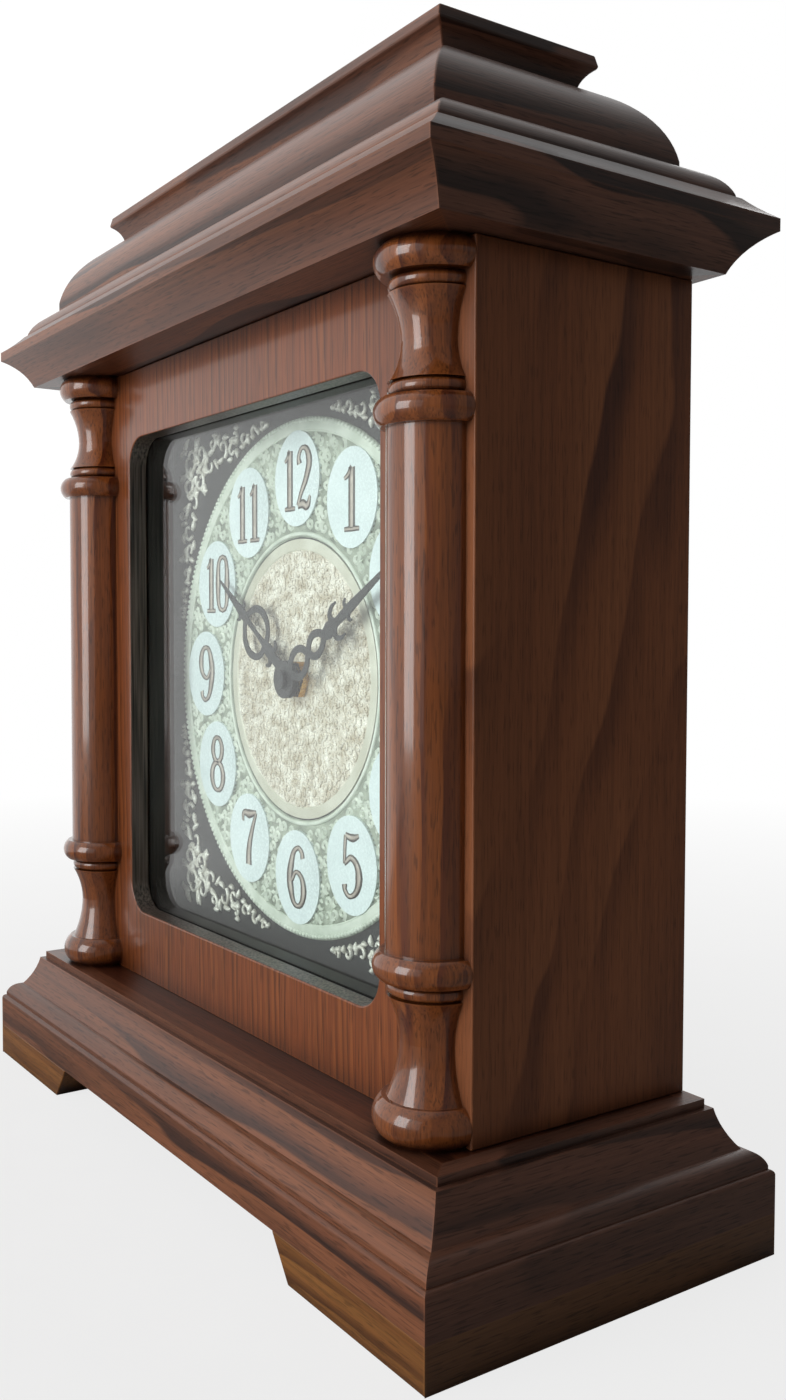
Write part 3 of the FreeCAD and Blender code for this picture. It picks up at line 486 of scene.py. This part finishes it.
def floatGlass(name):
    # clear pane with a thin film of dust: mirrors the room at a slant and lets the lamps through
    material, tree, place = newMaterial(name)
    film = mapped(tree, spots(tree, place, pane["smearSize"], 2.0), *pane["smear"], 0.0, pane["film"])
    polished = addNode(tree, "BsdfPrincipled", {"Base Color": linear(pane["tint"]), "Roughness": 0.0,
                                                "IOR": pane["index"], "Transmission Weight": 1.0})
    dust = addNode(tree, "BsdfDiffuse", {"Color": linear(pane["dust"])})
    through = addNode(tree, "BsdfTransparent", {"Color": linear(pane["tint"])})
    shadow = addNode(tree, "LightPath").outputs["Is Shadow Ray"]
    surface(tree, mixShaders(tree, shadow, mixShaders(tree, film, polished, dust), through))
    return material


finishes = {
    # satin painted sheet behind the dial
    "dialPaint": dict(low="#19191a", high="#232324", grit=0.5, cloud=30, rough=0.45, bump=0.1),
    # darker ground between the cream scrolls: the piercings of the hour ring, with painted shade in them
    "ringGroundAndShade": dict(low="#6b7266", high="#a5ac9d", grit=0.6, cloud=6, rough=0.5, bump=0.3),
    # cream lacquer on stamped scrolls, slightly green
    "ringCream": dict(low="#c0c8ba", high="#dce1d6", grit=0.5, cloud=9, rough=0.38, bump=0.25),
    # white enamel of the number plaques
    "plaqueEnamel": dict(low="#d3dee0", high="#dde7e9", grit=0.8, cloud=14, rough=0.25, bump=0.05),
    # brown ink round dull gilt, so that the numbers look open
    "numberInk": dict(low="#3d3532", high="#575049", grit=0.5, cloud=5, rough=0.4, bump=0.1),
    "numberGilt": dict(low="#a89a91", high="#c9bdb3", grit=0.5, cloud=4, rough=0.35, bump=0.1, metal=0.2),
    # pale gilt on embossed sheet
    "discGilt": dict(low="#bfb29d", high="#f4eee3", grit=0.7, cloud=5, rough=0.24, bump=0.35, metal=0.35),
    "discRim": dict(low="#c1bdac", high="#d5d2c4", grit=0.6, cloud=12, rough=0.4, bump=0.15, metal=0.1),
    # bright cast corner scrolls
    "spandrelSilver": dict(low="#d3cec3", high="#f3f0e8", grit=0.5, cloud=4, rough=0.26, bump=0.3, metal=0.3),
    # thin black paint on the hands
    "handPaint": dict(low="#161618", high="#242428", grit=0.4, cloud=8, rough=0.4, bump=0.1),
    # bright metal of hinges, knob, screws and contacts
    "polishedBrass": dict(low="#b98a3e", high="#d9b065", grit=0.6, cloud=7, rough=0.24, bump=0.1, metal=1.0),
    "platedSteel": dict(low="#9b9c9e", high="#bcbdbf", grit=0.5, cloud=6, rough=0.3, bump=0.1, metal=1.0),
    # moulded plastic, even and a little rough
    "catchPlastic": dict(low="#3d2417", high="#4a2d1d", grit=0.7, cloud=10, rough=0.5, bump=0.2),
    "housingPlastic": dict(low="#1a1a1a", high="#242424", grit=0.6, cloud=12, rough=0.5, bump=0.3),
    "wheelPlastic": dict(low="#dcdbd2", high="#eae9e2", grit=0.6, cloud=6, rough=0.35, bump=0.1),
    # fine wire, green solder resist and a dark cell inside the movement
    "windingCopper": dict(low="#8d4a26", high="#b5693a", grit=0.3, cloud=3, rough=0.32, bump=0.5, metal=1.0),
    "circuitGreen": dict(low="#0f3f22", high="#16562f", grit=0.4, cloud=3, rough=0.35, bump=0.1),
    "cellSleeve": dict(low="#22252b", high="#353a44", grit=0.6, cloud=9, rough=0.3, bump=0.1, metal=0.3),
}
paint = {name: grainySurface(name, look) for name, look in finishes.items()}
wood = {
    "sideUpright": lacqueredWood("dark walnut veneer, satin lacquer", sideVeneer, "z"),
    "mouldingLong": lacqueredWood("walnut moulding, gloss lacquer, grain along the front", longMoulding, "x"),
    "ledgeLong": lacqueredWood("walnut base board, gloss lacquer", ledgeWood, "x"),
    "mouldingDeepShaded": lacqueredWood("walnut moulding, gloss lacquer, grain front to back", deepMouldingShaded, "y"),
    "frontUpright": lacqueredWood("red walnut veneer, gloss lacquer", frontVeneer, "z"),
    "turnedUpright": lacqueredWood("turned red walnut, gloss lacquer", turnedWood, "z"),
    "footLong": lacqueredWood("lighter foot wood, grain along the front", footWood, "x"),
    "footDeep": lacqueredWood("foot wood, grain front to back", footSideWood, "y"),
    "carcassUpright": lacqueredWood("stained back board", carcassWood, "z"),
    "black": blackStain("black stained surround", "#141313", 0.5),
    "blackEdge": blackStain("black stained window edge", "#85766c", 0.3),
    "glass": floatGlass("float glass pane"),
}
print("materials mixed:", len(paint) + len(wood))


# boards and mouldings with their arrises eased by sandpaper

boards = {
    "base_moulding_front": ("mouldingLong", "moulding_wood"),
    "base_moulding_back": ("mouldingLong", "moulding_wood"),
    "base_moulding_left": ("mouldingDeepShaded", "moulding_wood"),
    "base_moulding_right": ("mouldingDeepShaded", "moulding_wood"),
    "cornice_front": ("mouldingLong", "moulding_wood"),
    "cornice_back": ("mouldingLong", "moulding_wood"),
    "cornice_left": ("mouldingDeepShaded", "moulding_wood"),
    "cornice_right": ("mouldingDeepShaded", "moulding_wood"),
    "ledge_board": ("mouldingLong", "moulding_wood"),
    "dome": ("mouldingLong", "moulding_wood"),
    "cap": ("mouldingLong", "moulding_wood"),
    "foot_front_left": ("footLong", "foot_wood"),
    "foot_front_right": ("footLong", "foot_wood"),
    "foot_back": ("footLong", "foot_wood"),
    "foot_side_left": ("footDeep", "foot_wood"),
    "foot_side_right": ("footDeep", "foot_wood"),
    "side_panel_left": ("sideUpright", "case_wood"),
    "side_panel_right": ("sideUpright", "case_wood"),
    "back_panel": ("carcassUpright", "carcass_wood"),
    "rear_door": ("carcassUpright", "carcass_wood"),
    "front_panel": ("frontUpright", "front_wood"),
}
easing = {"width": 0.5, "softWidth": 1.0, "segments": 3, "leastAngle": 24, "flat": 0.3, "near": 0.02,
          "smooth": 40, "sideways": 0.3, "endways": 0.1}
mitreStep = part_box("base_moulding_front")[1].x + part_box("base_moulding_front")[0].y  # |x| - |y| on mitres


def onMitre(vertex):
    return abs(abs(vertex.co.x) - abs(vertex.co.y) - mitreStep) < easing["near"] * mm


def easedCopy(node, name):
    piece = addObject(name, nodes[node].data.copy())
    makeActive(piece)
    bpy.ops.mesh.customdata_custom_splitnormals_clear()
    startEdit()
    bpy.ops.mesh.remove_doubles(threshold=easing["near"] * mm)
    bpy.ops.mesh.dissolve_limited(angle_limit=math.radians(easing["flat"]))
    bpy.ops.object.mode_set(mode="OBJECT")
    mitred = node.split("_")[0] in ("base", "cornice", "foot")
    leastAngle = math.radians(easing["leastAngle"])
    shape = bmesh.new()
    shape.from_mesh(piece.data)
    weight = shape.edges.layers.float.new("bevel_weight_edge")
    for edge in shape.edges:
        sharp = len(edge.link_faces) == 2 and edge.calc_face_angle() > leastAngle
        joint = mitred and all(onMitre(vertex) for vertex in edge.verts)
        edge[weight] = 1.0 if sharp and not joint else 0.0
    shape.to_mesh(piece.data)
    shape.free()
    width = easing["softWidth"] if node.startswith(("cornice", "front")) else easing["width"]
    applyModifier(piece, "BEVEL", width=width * mm, segments=easing["segments"], limit_method="WEIGHT")
    smoothOver(piece, easing["smooth"])
    applyModifier(piece, "WEIGHTED_NORMAL", keep_sharp=True)
    return piece


def blackenWindow(panel):
    # the window's cut edge is stained black like the surround behind it
    panel.data.materials.append(wood["blackEdge"])
    low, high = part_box("glass_pane")
    for face in panel.data.polygons:
        inside = low.x < face.center.x < high.x and low.z < face.center.z < high.z
        if inside and abs(face.normal.y) < easing["sideways"]:
            face.material_index = 1


def turnEnds(board):
    # the veneer on the ends runs front to back, in the darker side wood that paints shade on the ends
    board.data.materials.append(wood["mouldingDeepShaded"])
    for face in board.data.polygons:
        if abs(face.normal.x) > max(abs(face.normal.y), easing["endways"]):
            face.material_index = 1


def makeBoards():
    for node, (look, slotName) in boards.items():
        piece = easedCopy(node, node + "_eased")
        body = "door" if node == "rear_door" else "case"
        dress(piece, body, slotName, wood[look], node)
        if node == "front_panel":
            blackenWindow(piece)
        if node in ("ledge_board", "dome", "cap"):
            turnEnds(piece)


makeBoards()
print("boards eased:", len(boards))


# dial pieces are drawn flat, x to the right and y up from the hub, then stood up facing the room

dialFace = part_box("dial_plate")[0].y
hubHeight = (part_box("centre_disc")[0].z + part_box("centre_disc")[1].z) / 2
anyTurn = (0, 6.28)
scroll = {"windIn": 0.78, "thinOut": 0.35}


def standUp(piece, lift):
    # lift is how far the drawing's plane stands in front of the dial plate
    stand = Matrix(((1, 0, 0, 0), (0, 0, -1, dialFace - lift * mm), (0, 1, 0, hubHeight), (0, 0, 0, 1)))
    piece.data.transform(stand)
    return piece


def onCircle(reach, angle):
    return reach * math.cos(angle), reach * math.sin(angle)


def drawWires(name, strokes, wire):
    # strokes are lists of (x, y, share of the wire's radius) in millimetres
    curve = bpy.data.curves.new(name, "CURVE")
    curve.dimensions = "3D"
    curve.bevel_depth = wire * mm
    curve.bevel_resolution = 0
    curve.use_fill_caps = True
    curve.resolution_u = 1
    for stroke in strokes:
        spline = curve.splines.new("POLY")
        spline.points.add(len(stroke) - 1)
        for point, (x, y, share) in zip(spline.points, stroke):
            point.co = (x * mm, y * mm, 0, 1)
            point.radius = share
    return asMesh(addObject(name, curve))


def drawRibbons(name, strokes, thickness, steps):
    # flat strokes with their own width: each point is (x, y, half width), a stroke may be closed
    profile = bpy.data.curves.new("ribbonProfile", "CURVE")
    profile.dimensions = "2D"
    edge = profile.splines.new("POLY")
    edge.points.add(3)
    for point, (x, y) in zip(edge.points, ((-1, -1), (1, -1), (1, 1), (-1, 1))):
        point.co = (x * mm, y * mm, 0, 1)
    edge.use_cyclic_u = True
    profileShape = addObject("ribbonProfile", profile)
    curve = bpy.data.curves.new(name, "CURVE")
    curve.dimensions = "3D"
    curve.twist_mode = "Z_UP"
    curve.bevel_mode = "OBJECT"
    curve.bevel_object = profileShape
    curve.use_fill_caps = True
    curve.resolution_u = steps
    for points, closed in strokes:
        spline = curve.splines.new("BEZIER")
        spline.bezier_points.add(len(points) - 1)
        for point, (x, y, half) in zip(spline.bezier_points, points):
            point.co = (x * mm, y * mm, 0)
            point.handle_left_type = point.handle_right_type = "AUTO"
            point.radius = half
        spline.use_cyclic_u = closed
    piece = asMesh(addObject(name, curve))
    bpy.data.objects.remove(profileShape)
    for vertex in piece.data.vertices:
        vertex.co.z = math.copysign(thickness / 2 * mm, vertex.co.z)
    startEdit()
    endEdit()
    return piece


def curl(x, y, radius, start, turn, points=9):
    # a scroll that winds in from its rim
    stroke = []
    for step in range(points):
        share = step / (points - 1)
        dx, dy = onCircle(radius * (1 - scroll["windIn"] * share), start + turn * share)
        stroke.append((x + dx, y + dy, 1.0 - scroll["thinOut"] * share))
    return stroke


# hour ring: darker plate with painted shade in its piercings, cream scrollwork with a beaded edge, white
# plaques and open numbers

hourRing = {"inner": 48.5, "outer": 89.0, "plateLift": 0.5, "band": 4.6, "bandThick": 0.45, "bandEdge": 0.15,
            "outerRim": 0.55, "innerRim": 0.8, "innerRimStep": 1.2, "beadRadius": 1.0, "beadPitch": 2.1,
            "rows": 7, "firstRow": 2.6, "rowTrim": 3.4, "scrollRadius": 2.3, "overlap": 0.1, "wire": 0.80,
            "lean": 0.7, "sizes": (0.9, 1.12), "turns": (5.2, 7.4), "seed": 7, "smooth": 50}
plaques = {"ring": 68.5, "height": 32.5, "width": 29.5, "lift": 0.95, "covers": 0.97, "lip": 0.35,
           "slope": 0.5, "dish": 0.15, "smooth": 35}
numerals = {"height": 21.5, "narrow": 0.78, "apart": 0.43, "thick": 0.16, "steps": 5,
            "outlineLift": 0.06, "centreLift": 0.10, "centreShare": 0.5}


def plaqueCentre(hour):
    return onCircle(plaques["ring"], math.radians(90 - 30 * hour))


def underPlaque(x, y):
    for hour in range(1, 13):
        px, py = plaqueCentre(hour)
        reach = math.hypot((x - px) / (plaques["width"] / 2), (y - py) / (plaques["height"] / 2))
        if reach < plaques["covers"]:
            return True
    return False


def makeRingScrolls():
    draw = random.Random(hourRing["seed"])
    strokes = []
    field = hourRing["outer"] - hourRing["band"] - hourRing["inner"] - hourRing["rowTrim"]
    rowHeight = field / hourRing["rows"]
    for row in range(hourRing["rows"]):
        reach = hourRing["inner"] + hourRing["firstRow"] + rowHeight * (row + 0.5)
        count = round(fullTurn * reach / (2 * hourRing["scrollRadius"] - hourRing["overlap"]))
        for number in range(count):
            angle = fullTurn * (number + 0.5 * (row % 2)) / count
            x, y = onCircle(reach, angle)
            if underPlaque(x, y):
                continue
            side = 1 if (number + row) % 2 else -1
            lean = draw.uniform(-hourRing["lean"], hourRing["lean"])
            size = hourRing["scrollRadius"] * draw.uniform(*hourRing["sizes"])
            strokes.append(curl(x, y, size, angle + lean, side * draw.uniform(*hourRing["turns"])))
    return drawWires("ringScrolls", strokes, hourRing["wire"])


def makeBand(name, inner, outer):
    piece = addDisc(name, outer, 160)
    startEdit()
    stepIn(outer - inner)
    bpy.ops.mesh.delete(type="FACE")
    bpy.ops.mesh.select_all(action="SELECT")
    raiseFace(hourRing["bandThick"])
    endEdit()
    applyModifier(piece, "BEVEL", width=hourRing["bandEdge"] * mm, segments=2)
    return piece


def makeRim(name, radius, wire):
    bpy.ops.mesh.primitive_torus_add(major_radius=radius * mm, minor_radius=wire * mm,
                                     major_segments=128, minor_segments=8)
    bpy.context.object.name = name
    return bpy.context.object


def makeBeads():
    bpy.ops.mesh.primitive_uv_sphere_add(segments=8, ring_count=5, radius=hourRing["beadRadius"] * mm)
    bead = bpy.context.object
    reach = hourRing["outer"] - hourRing["beadRadius"]
    count = round(fullTurn * reach / (hourRing["beadPitch"] * hourRing["beadRadius"]))
    beads = []
    for number in range(count):
        copy = addObject("bead", bead.data.copy())
        x, y = onCircle(reach * mm, fullTurn * number / count)
        copy.data.transform(Matrix.Translation((x, y, 0)))
        beads.append(copy)
    bpy.data.objects.remove(bead)
    return joinPieces(beads, "ringBeads")


def makePlaques():
    made = []
    for hour in range(1, 13):
        plaque = addDisc("plaque", 0.5, 64)
        x, y = plaqueCentre(hour)
        plaque.location = (x * mm, y * mm, 0)
        plaque.scale = (plaques["width"], plaques["height"], 1)
        bpy.ops.object.transform_apply(location=True, rotation=True, scale=True)
        startEdit()
        raiseFace(plaques["lift"])
        stepIn(plaques["lip"])
        stepIn(plaques["slope"], -plaques["dish"])
        endEdit()
        made.append(plaque)
    return joinPieces(made, "hourPlaques")


# open numbers: strokes in a box one high, with swelling widths; closed loops are marked
numberStrokes = {
    "0": [([(0.21, 0.5, .09), (0, 0.97, .04), (-0.21, 0.5, .09), (0, 0.03, .04)], True)],
    "1": [([(0, 0.04, .085), (0, 0.5, .085), (0, 0.95, .085)], False),
          ([(0.0, 0.95, .05), (-0.1, 0.84, .045), (-0.2, 0.79, .03)], False),
          ([(-0.2, 0.03, .035), (0, 0.035, .045), (0.2, 0.03, .035)], False)],
    "2": [([(-0.17, 0.72, .07), (-0.2, 0.83, .05), (-0.02, 0.97, .04), (0.2, 0.8, .085),
            (0.1, 0.5, .07), (-0.12, 0.24, .05), (-0.23, 0.07, .045)], False),
          ([(-0.23, 0.06, .05), (-0.06, 0.09, .075), (0.13, 0.05, .07), (0.24, 0.2, .03)], False)],
    "3": [([(-0.18, 0.76, .07), (-0.16, 0.88, .05), (0.0, 0.97, .04), (0.18, 0.78, .085),
            (0.0, 0.54, .04)], False),
          ([(0.0, 0.54, .04), (0.22, 0.3, .095), (0.0, 0.03, .04), (-0.18, 0.1, .05),
            (-0.19, 0.21, .07)], False)],
    "4": [([(0.1, 0.97, .05), (-0.08, 0.64, .04), (-0.26, 0.3, .04)], False),
          ([(-0.27, 0.28, .045), (0, 0.28, .045), (0.27, 0.28, .045)], False),
          ([(0.1, 0.96, .085), (0.1, 0.5, .085), (0.1, 0.04, .085)], False),
          ([(-0.06, 0.03, .035), (0.1, 0.03, .04), (0.26, 0.03, .035)], False)],
    "5": [([(-0.16, 0.94, .05), (0.04, 0.92, .065), (0.2, 0.97, .035)], False),
          ([(-0.16, 0.94, .045), (-0.18, 0.72, .04), (-0.19, 0.5, .04)], False),
          ([(-0.19, 0.51, .04), (0.02, 0.61, .055), (0.21, 0.34, .095), (0.0, 0.03, .04),
            (-0.17, 0.09, .05), (-0.19, 0.19, .07)], False)],
    "6": [([(0.17, 0.82, .065), (0.14, 0.92, .05), (0.0, 0.97, .04), (-0.19, 0.68, .085),
            (-0.21, 0.32, .095), (0.0, 0.03, .04), (0.2, 0.3, .09), (0.0, 0.58, .04),
            (-0.18, 0.42, .045)], False)],
    "7": [([(-0.22, 0.77, .035), (-0.2, 0.9, .05), (0.0, 0.91, .08), (0.24, 0.96, .035)], False),
          ([(0.24, 0.95, .035), (0.08, 0.6, .06), (-0.01, 0.3, .085), (-0.02, 0.04, .095)], False)],
    "8": [([(0.17, 0.76, .075), (0, 0.97, .04), (-0.17, 0.76, .075), (0, 0.54, .05)], True),
          ([(0.21, 0.28, .085), (0, 0.53, .05), (-0.21, 0.28, .085), (0, 0.03, .04)], True)],
}
numberStrokes["9"] = [([(-x, 1 - y, half) for x, y, half in points], closed)
                      for points, closed in numberStrokes["6"]]


def makeNumbers(name, widen):
    height = numerals["height"]
    strokes = []
    for hour in range(1, 13):
        px, py = plaqueCentre(hour)
        digits = str(hour)
        narrow = 1.0 if len(digits) == 1 else numerals["narrow"]
        for place, digit in enumerate(digits):
            shift = 0 if len(digits) == 1 else (place - 0.5) * numerals["apart"]
            for points, closed in numberStrokes[digit]:
                strokes.append(([(px + (shift + x * narrow) * height, py + (y - 0.5) * height,
                                  half * height * widen) for x, y, half in points], closed))
    return drawRibbons(name, strokes, numerals["thick"], numerals["steps"])


def makeHourRing():
    # the ring's own plate shows between the scrolls, darkened as painted shade in the piercings
    paintOver(nodes["chapter_ring"], paint["ringGroundAndShade"])
    bandStart = hourRing["outer"] - hourRing["band"]
    rims = [makeBand("outerBand", bandStart, hourRing["outer"] - hourRing["beadRadius"]),
            makeRim("outerRim", bandStart, hourRing["outerRim"]),
            makeRim("innerRim", hourRing["inner"] + hourRing["innerRimStep"], hourRing["innerRim"])]
    scrolls = joinPieces([makeRingScrolls(), makeBeads()] + rims, "ringScrollwork")
    smoothOver(scrolls, hourRing["smooth"])
    dress(standUp(scrolls, hourRing["plateLift"]), "case", "dial_white", paint["ringCream"])
    ovals = makePlaques()
    smoothOver(ovals, plaques["smooth"])
    dress(standUp(ovals, hourRing["plateLift"]), "case", "dial_white", paint["plaqueEnamel"])
    top = hourRing["plateLift"] + plaques["lift"] - plaques["dish"]
    outlines = standUp(makeNumbers("numberOutlines", 1.0), top + numerals["outlineLift"])
    dress(outlines, "case", "hand_black", paint["numberInk"])
    centres = standUp(makeNumbers("numberCentres", numerals["centreShare"]), top + numerals["centreLift"])
    dress(centres, "case", "dial_gold", paint["numberGilt"])


# centre disc: plain rim and an embossed field of scrolls

centreDisc = {"radius": 48.0, "field": 44.0, "lift": 0.6, "edge": 0.4, "edgeRise": 0.15, "fieldDrop": 0.3,
              "bore": 4.3, "firstRow": 5.0, "lastRow": 1.5, "rowStep": 1.5, "spacing": 1.75,
              "scrollRadius": 2.0, "sizes": (0.7, 1.15), "turns": (3.5, 7.0), "points": 8,
              "wire": 0.66, "sink": 0.2, "seed": 21, "smooth": 35}


def makeDiscPlate():
    plate = addDisc("centreDiscPlate", centreDisc["radius"], 128)
    startEdit()
    raiseFace(centreDisc["lift"])
    stepIn(centreDisc["edge"], centreDisc["edgeRise"])
    stepIn(centreDisc["radius"] - centreDisc["field"] - 2 * centreDisc["edge"])
    stepIn(centreDisc["edge"], -centreDisc["fieldDrop"])
    endEdit()
    smoothOver(plate, centreDisc["smooth"])
    dress(standUp(plate, 0), "case", "dial_gold", paint["discRim"], "centre_disc")
    plate.data.materials.append(paint["discGilt"])
    middle = Vector((0, dialFace - centreDisc["lift"] * mm, hubHeight))
    field = min(plate.data.polygons, key=lambda face: (face.center - middle).length)
    field.material_index = 1


def makeDiscScrolls():
    draw = random.Random(centreDisc["seed"])
    strokes = []
    reach = centreDisc["bore"] + centreDisc["firstRow"]
    while reach < centreDisc["field"] - centreDisc["lastRow"]:
        count = round(fullTurn * reach / (centreDisc["spacing"] * centreDisc["scrollRadius"]))
        for number in range(count):
            x, y = onCircle(reach, fullTurn * number / count + reach)
            size = centreDisc["scrollRadius"] * draw.uniform(*centreDisc["sizes"])
            start = draw.uniform(*anyTurn)
            turn = draw.choice((-1, 1)) * draw.uniform(*centreDisc["turns"])
            strokes.append(curl(x, y, size, start, turn, centreDisc["points"]))
        reach += centreDisc["rowStep"] * centreDisc["scrollRadius"]
    scrolls = drawWires("centreDiscScrolls", strokes, centreDisc["wire"])
    makeActive(scrolls)
    bpy.ops.object.shade_smooth()
    lift = centreDisc["lift"] - centreDisc["sink"]
    dress(standUp(scrolls, lift), "case", "dial_gold", paint["discGilt"])


# corner spandrels: openwork scrolls and leaves from the corner along the ring

spandrel = {"halfWidth": 93.0, "halfHeight": 92.0, "ring": 91.0, "wire": 0.95, "seed": 12, "lift": 0.4,
            "scrolls": [(84, 83, 6.0), (74, 85, 4.6), (66, 80, 4.4), (64, 88, 3.0), (56, 85, 4.2),
                        (48, 83.5, 3.4), (46, 89, 2.4), (39, 87.5, 3.2), (31, 89, 2.4), (24, 90, 1.9),
                        (75, 74, 4.6)],
            "turns": (4.6, 6.4), "points": 12, "leaves": 3, "leafApart": 2.1, "leafSway": 0.5, "leafSteps": 5,
            "leafStart": 0.75, "leafLength": 0.75, "leafBend": 0.8, "leafThin": 0.35, "leafSwell": 0.8}


def makeLeaf(x, y, size, angle):
    leaf = []
    for step in range(spandrel["leafSteps"] + 1):
        share = step / spandrel["leafSteps"]
        reach = size * (spandrel["leafStart"] + spandrel["leafLength"] * share)
        dx, dy = onCircle(reach, angle + spandrel["leafBend"] * share)
        swell = spandrel["leafThin"] + math.sin(math.pi * share) ** spandrel["leafSwell"]
        leaf.append((x + dx, y + dy, swell))
    return leaf


def inCorner(stroke):
    return all(x < spandrel["halfWidth"] and y < spandrel["halfHeight"]
               and math.hypot(x, y) > spandrel["ring"] for x, y, share in stroke)


def makeSpandrels():
    draw = random.Random(spandrel["seed"])
    sway = spandrel["leafSway"]
    corner = []
    for x, y, size in spandrel["scrolls"]:
        start = draw.uniform(*anyTurn)
        turn = draw.choice((-1, 1)) * draw.uniform(*spandrel["turns"])
        corner.append(curl(x, y, size, start, turn, spandrel["points"]))
        for number in range(spandrel["leaves"]):  # they spring from the scroll
            angle = start + spandrel["leafApart"] * number + draw.uniform(-sway, sway)
            leaf = makeLeaf(x, y, size, angle)
            if inCorner(leaf):
                corner.append(leaf)
    corner += [[(y, x, share) for x, y, share in stroke] for stroke in corner]
    strokes = []
    for xSide in (-1, 1):
        for ySide in (-1, 1):
            strokes += [[(x * xSide, y * ySide, share) for x, y, share in stroke] for stroke in corner]
    scrolls = drawWires("spandrelScrolls", strokes, spandrel["wire"])
    makeActive(scrolls)
    bpy.ops.object.shade_smooth()
    dress(standUp(scrolls, spandrel["lift"]), "case", "dial_gold", paint["spandrelSilver"], "spandrels")


makeHourRing()
makeDiscPlate()
makeDiscScrolls()
makeSpandrels()
print("dial drawn")


# serpentine hands: pierced loops and a spear point, drawn at twelve and turned to their reading

hubEye = ([(4.1, 0, 2.4), (0, 4.1, 2.4), (-4.1, 0, 2.4), (0, -4.1, 2.4)], True)
hourHand = {"reading": 305.0, "strokes": [
    hubEye,
    ([(0, 5, 2.4), (0, 12, 2.0), (0, 17, 2.6), (0, 21, 1.6)], False),
    ([(0, 20, 1.3), (0, 28, 0.9), (0, 36, 1.3)], False),
    ([(0, 35, 1.6), (0, 40, 2.2), (0, 46, 1.5), (0, 62, 0.3)], False)],
    "sides": [
    ([(0.3, 20, 1.3), (4.6, 20.6, 1.2), (8.2, 25.5, 1.4), (7.6, 31.5, 1.4), (4.0, 35.2, 1.2),
      (0.3, 37, 1.2)], False),
    ([(0.8, 15, 1.2), (3.6, 13.6, 1.0), (5.4, 15.4, 0.5)], False),
    ([(0.5, 42, 1.0), (2.8, 40.6, 0.8), (4.2, 41.8, 0.35)], False)]}
minuteHand = {"reading": 60.0, "strokes": [
    hubEye,
    ([(0, 29, 1.6), (0, 33.5, 3.0), (0, 39, 1.6)], False),
    ([(0, 38, 1.5), (0, 48, 1.9), (0, 58, 1.3), (0, 84, 0.3)], False)],
    "sides": [
    ([(0.3, 5, 1.4), (4.2, 9.6, 1.3), (3.8, 14.8, 1.3), (0, 18.6, 1.3), (-3.3, 22.4, 1.3),
      (-2.9, 26.8, 1.3), (0.2, 30.6, 1.4)], False),
    ([(0.5, 37.5, 1.4), (3.6, 36.2, 1.1), (5.6, 38.4, 0.8), (5.8, 41.6, 0.35)], False),
    ([(0.5, 47, 1.0), (2.8, 45.6, 0.8), (4.0, 47.0, 0.35)], False)]}
handSheet = {"thickness": 0.6, "steps": 8, "voxel": 0.16, "smoothing": 0.5, "passes": 2, "kept": 0.25,
             "smooth": 35}


def makeHand(node, body, hand, name):
    strokes = hand["strokes"] + hand["sides"]
    strokes += [([(-x, y, half) for x, y, half in points], closed) for points, closed in hand["sides"]]
    piece = drawRibbons(name, strokes, handSheet["thickness"], handSheet["steps"])
    applyModifier(piece, "REMESH", mode="VOXEL", voxel_size=handSheet["voxel"] * mm)
    applyModifier(piece, "SMOOTH", factor=handSheet["smoothing"], iterations=handSheet["passes"])
    applyModifier(piece, "DECIMATE", ratio=handSheet["kept"])
    smoothOver(piece, handSheet["smooth"])
    piece.data.transform(Matrix.Rotation(-math.radians(hand["reading"]), 4, "Z"))
    low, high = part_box(node)
    standUp(piece, (dialFace - (low.y + high.y) / 2) / mm)
    dress(piece, body, "hand_black", paint["handPaint"], node)


makeHand("hour_hand", "hour", hourHand, "hourHandSerpentine")
makeHand("minute_hand", "minute", minuteHand, "minuteHandSerpentine")
print("hands cut")


# what stands behind the pane has a lamp of its own, in the window's place

behindPane = {"nodes": ["dial_plate", "chapter_ring", "dial_surround", "glass_stops", "hand_nut",
                        "minute_arbor", "hour_wheel", "movement_nut"],
              "pieces": ["ringScrollwork", "hourPlaques", "numberOutlines", "numberCentres",
                         "centreDiscPlate", "centreDiscScrolls", "spandrelScrolls",
                         "hourHandSerpentine", "minuteHandSerpentine"]}


def lightDial():
    lit = bpy.data.collections.new("behindPane")
    for name in behindPane["nodes"]:
        lit.objects.link(nodes[name])
    for name in behindPane["pieces"]:
        lit.objects.link(bpy.data.objects[name])
    softLight("dialLight", dialLamp, lit)


lightDial()
print("dial lit")


# finishes of the nodes that keep their own shape

finishOfNode = {
    "turnedUpright": ["column_left", "column_right"],
    "ledgeLong": ["base_board"],
    "carcassUpright": ["case_top_board"],
    "black": ["dial_surround", "glass_stops"],
    "glass": ["glass_pane"],
    "dialPaint": ["dial_plate"],
    "handPaint": ["hand_nut"],
    "polishedBrass": ["hinge_leaf_frame", "hinge_leaf_door", "hinge_pins", "hinge_screws_frame",
                      "hinge_screws_door", "door_knob", "movement_nut", "minute_arbor"],
    "platedSteel": ["dial_screws", "stator", "battery_contacts"],
    "catchPlastic": ["magnet_catch"],
    "housingPlastic": ["movement_housing", "movement_cover", "setting_knob"],
    "wheelPlastic": ["hour_wheel", "motion_wheel", "centre_wheel", "third_wheel", "second_wheel",
                     "intermediate_wheel", "rotor"],
    "windingCopper": ["coil"],
    "circuitGreen": ["circuit_board"],
    "cellSleeve": ["battery"],
}
for finish, names in finishOfNode.items():
    for name in names:
        paintOver(nodes[name], wood.get(finish) or paint[finish])
print("finishes on", sum(len(names) for names in finishOfNode.values()), "plain nodes")
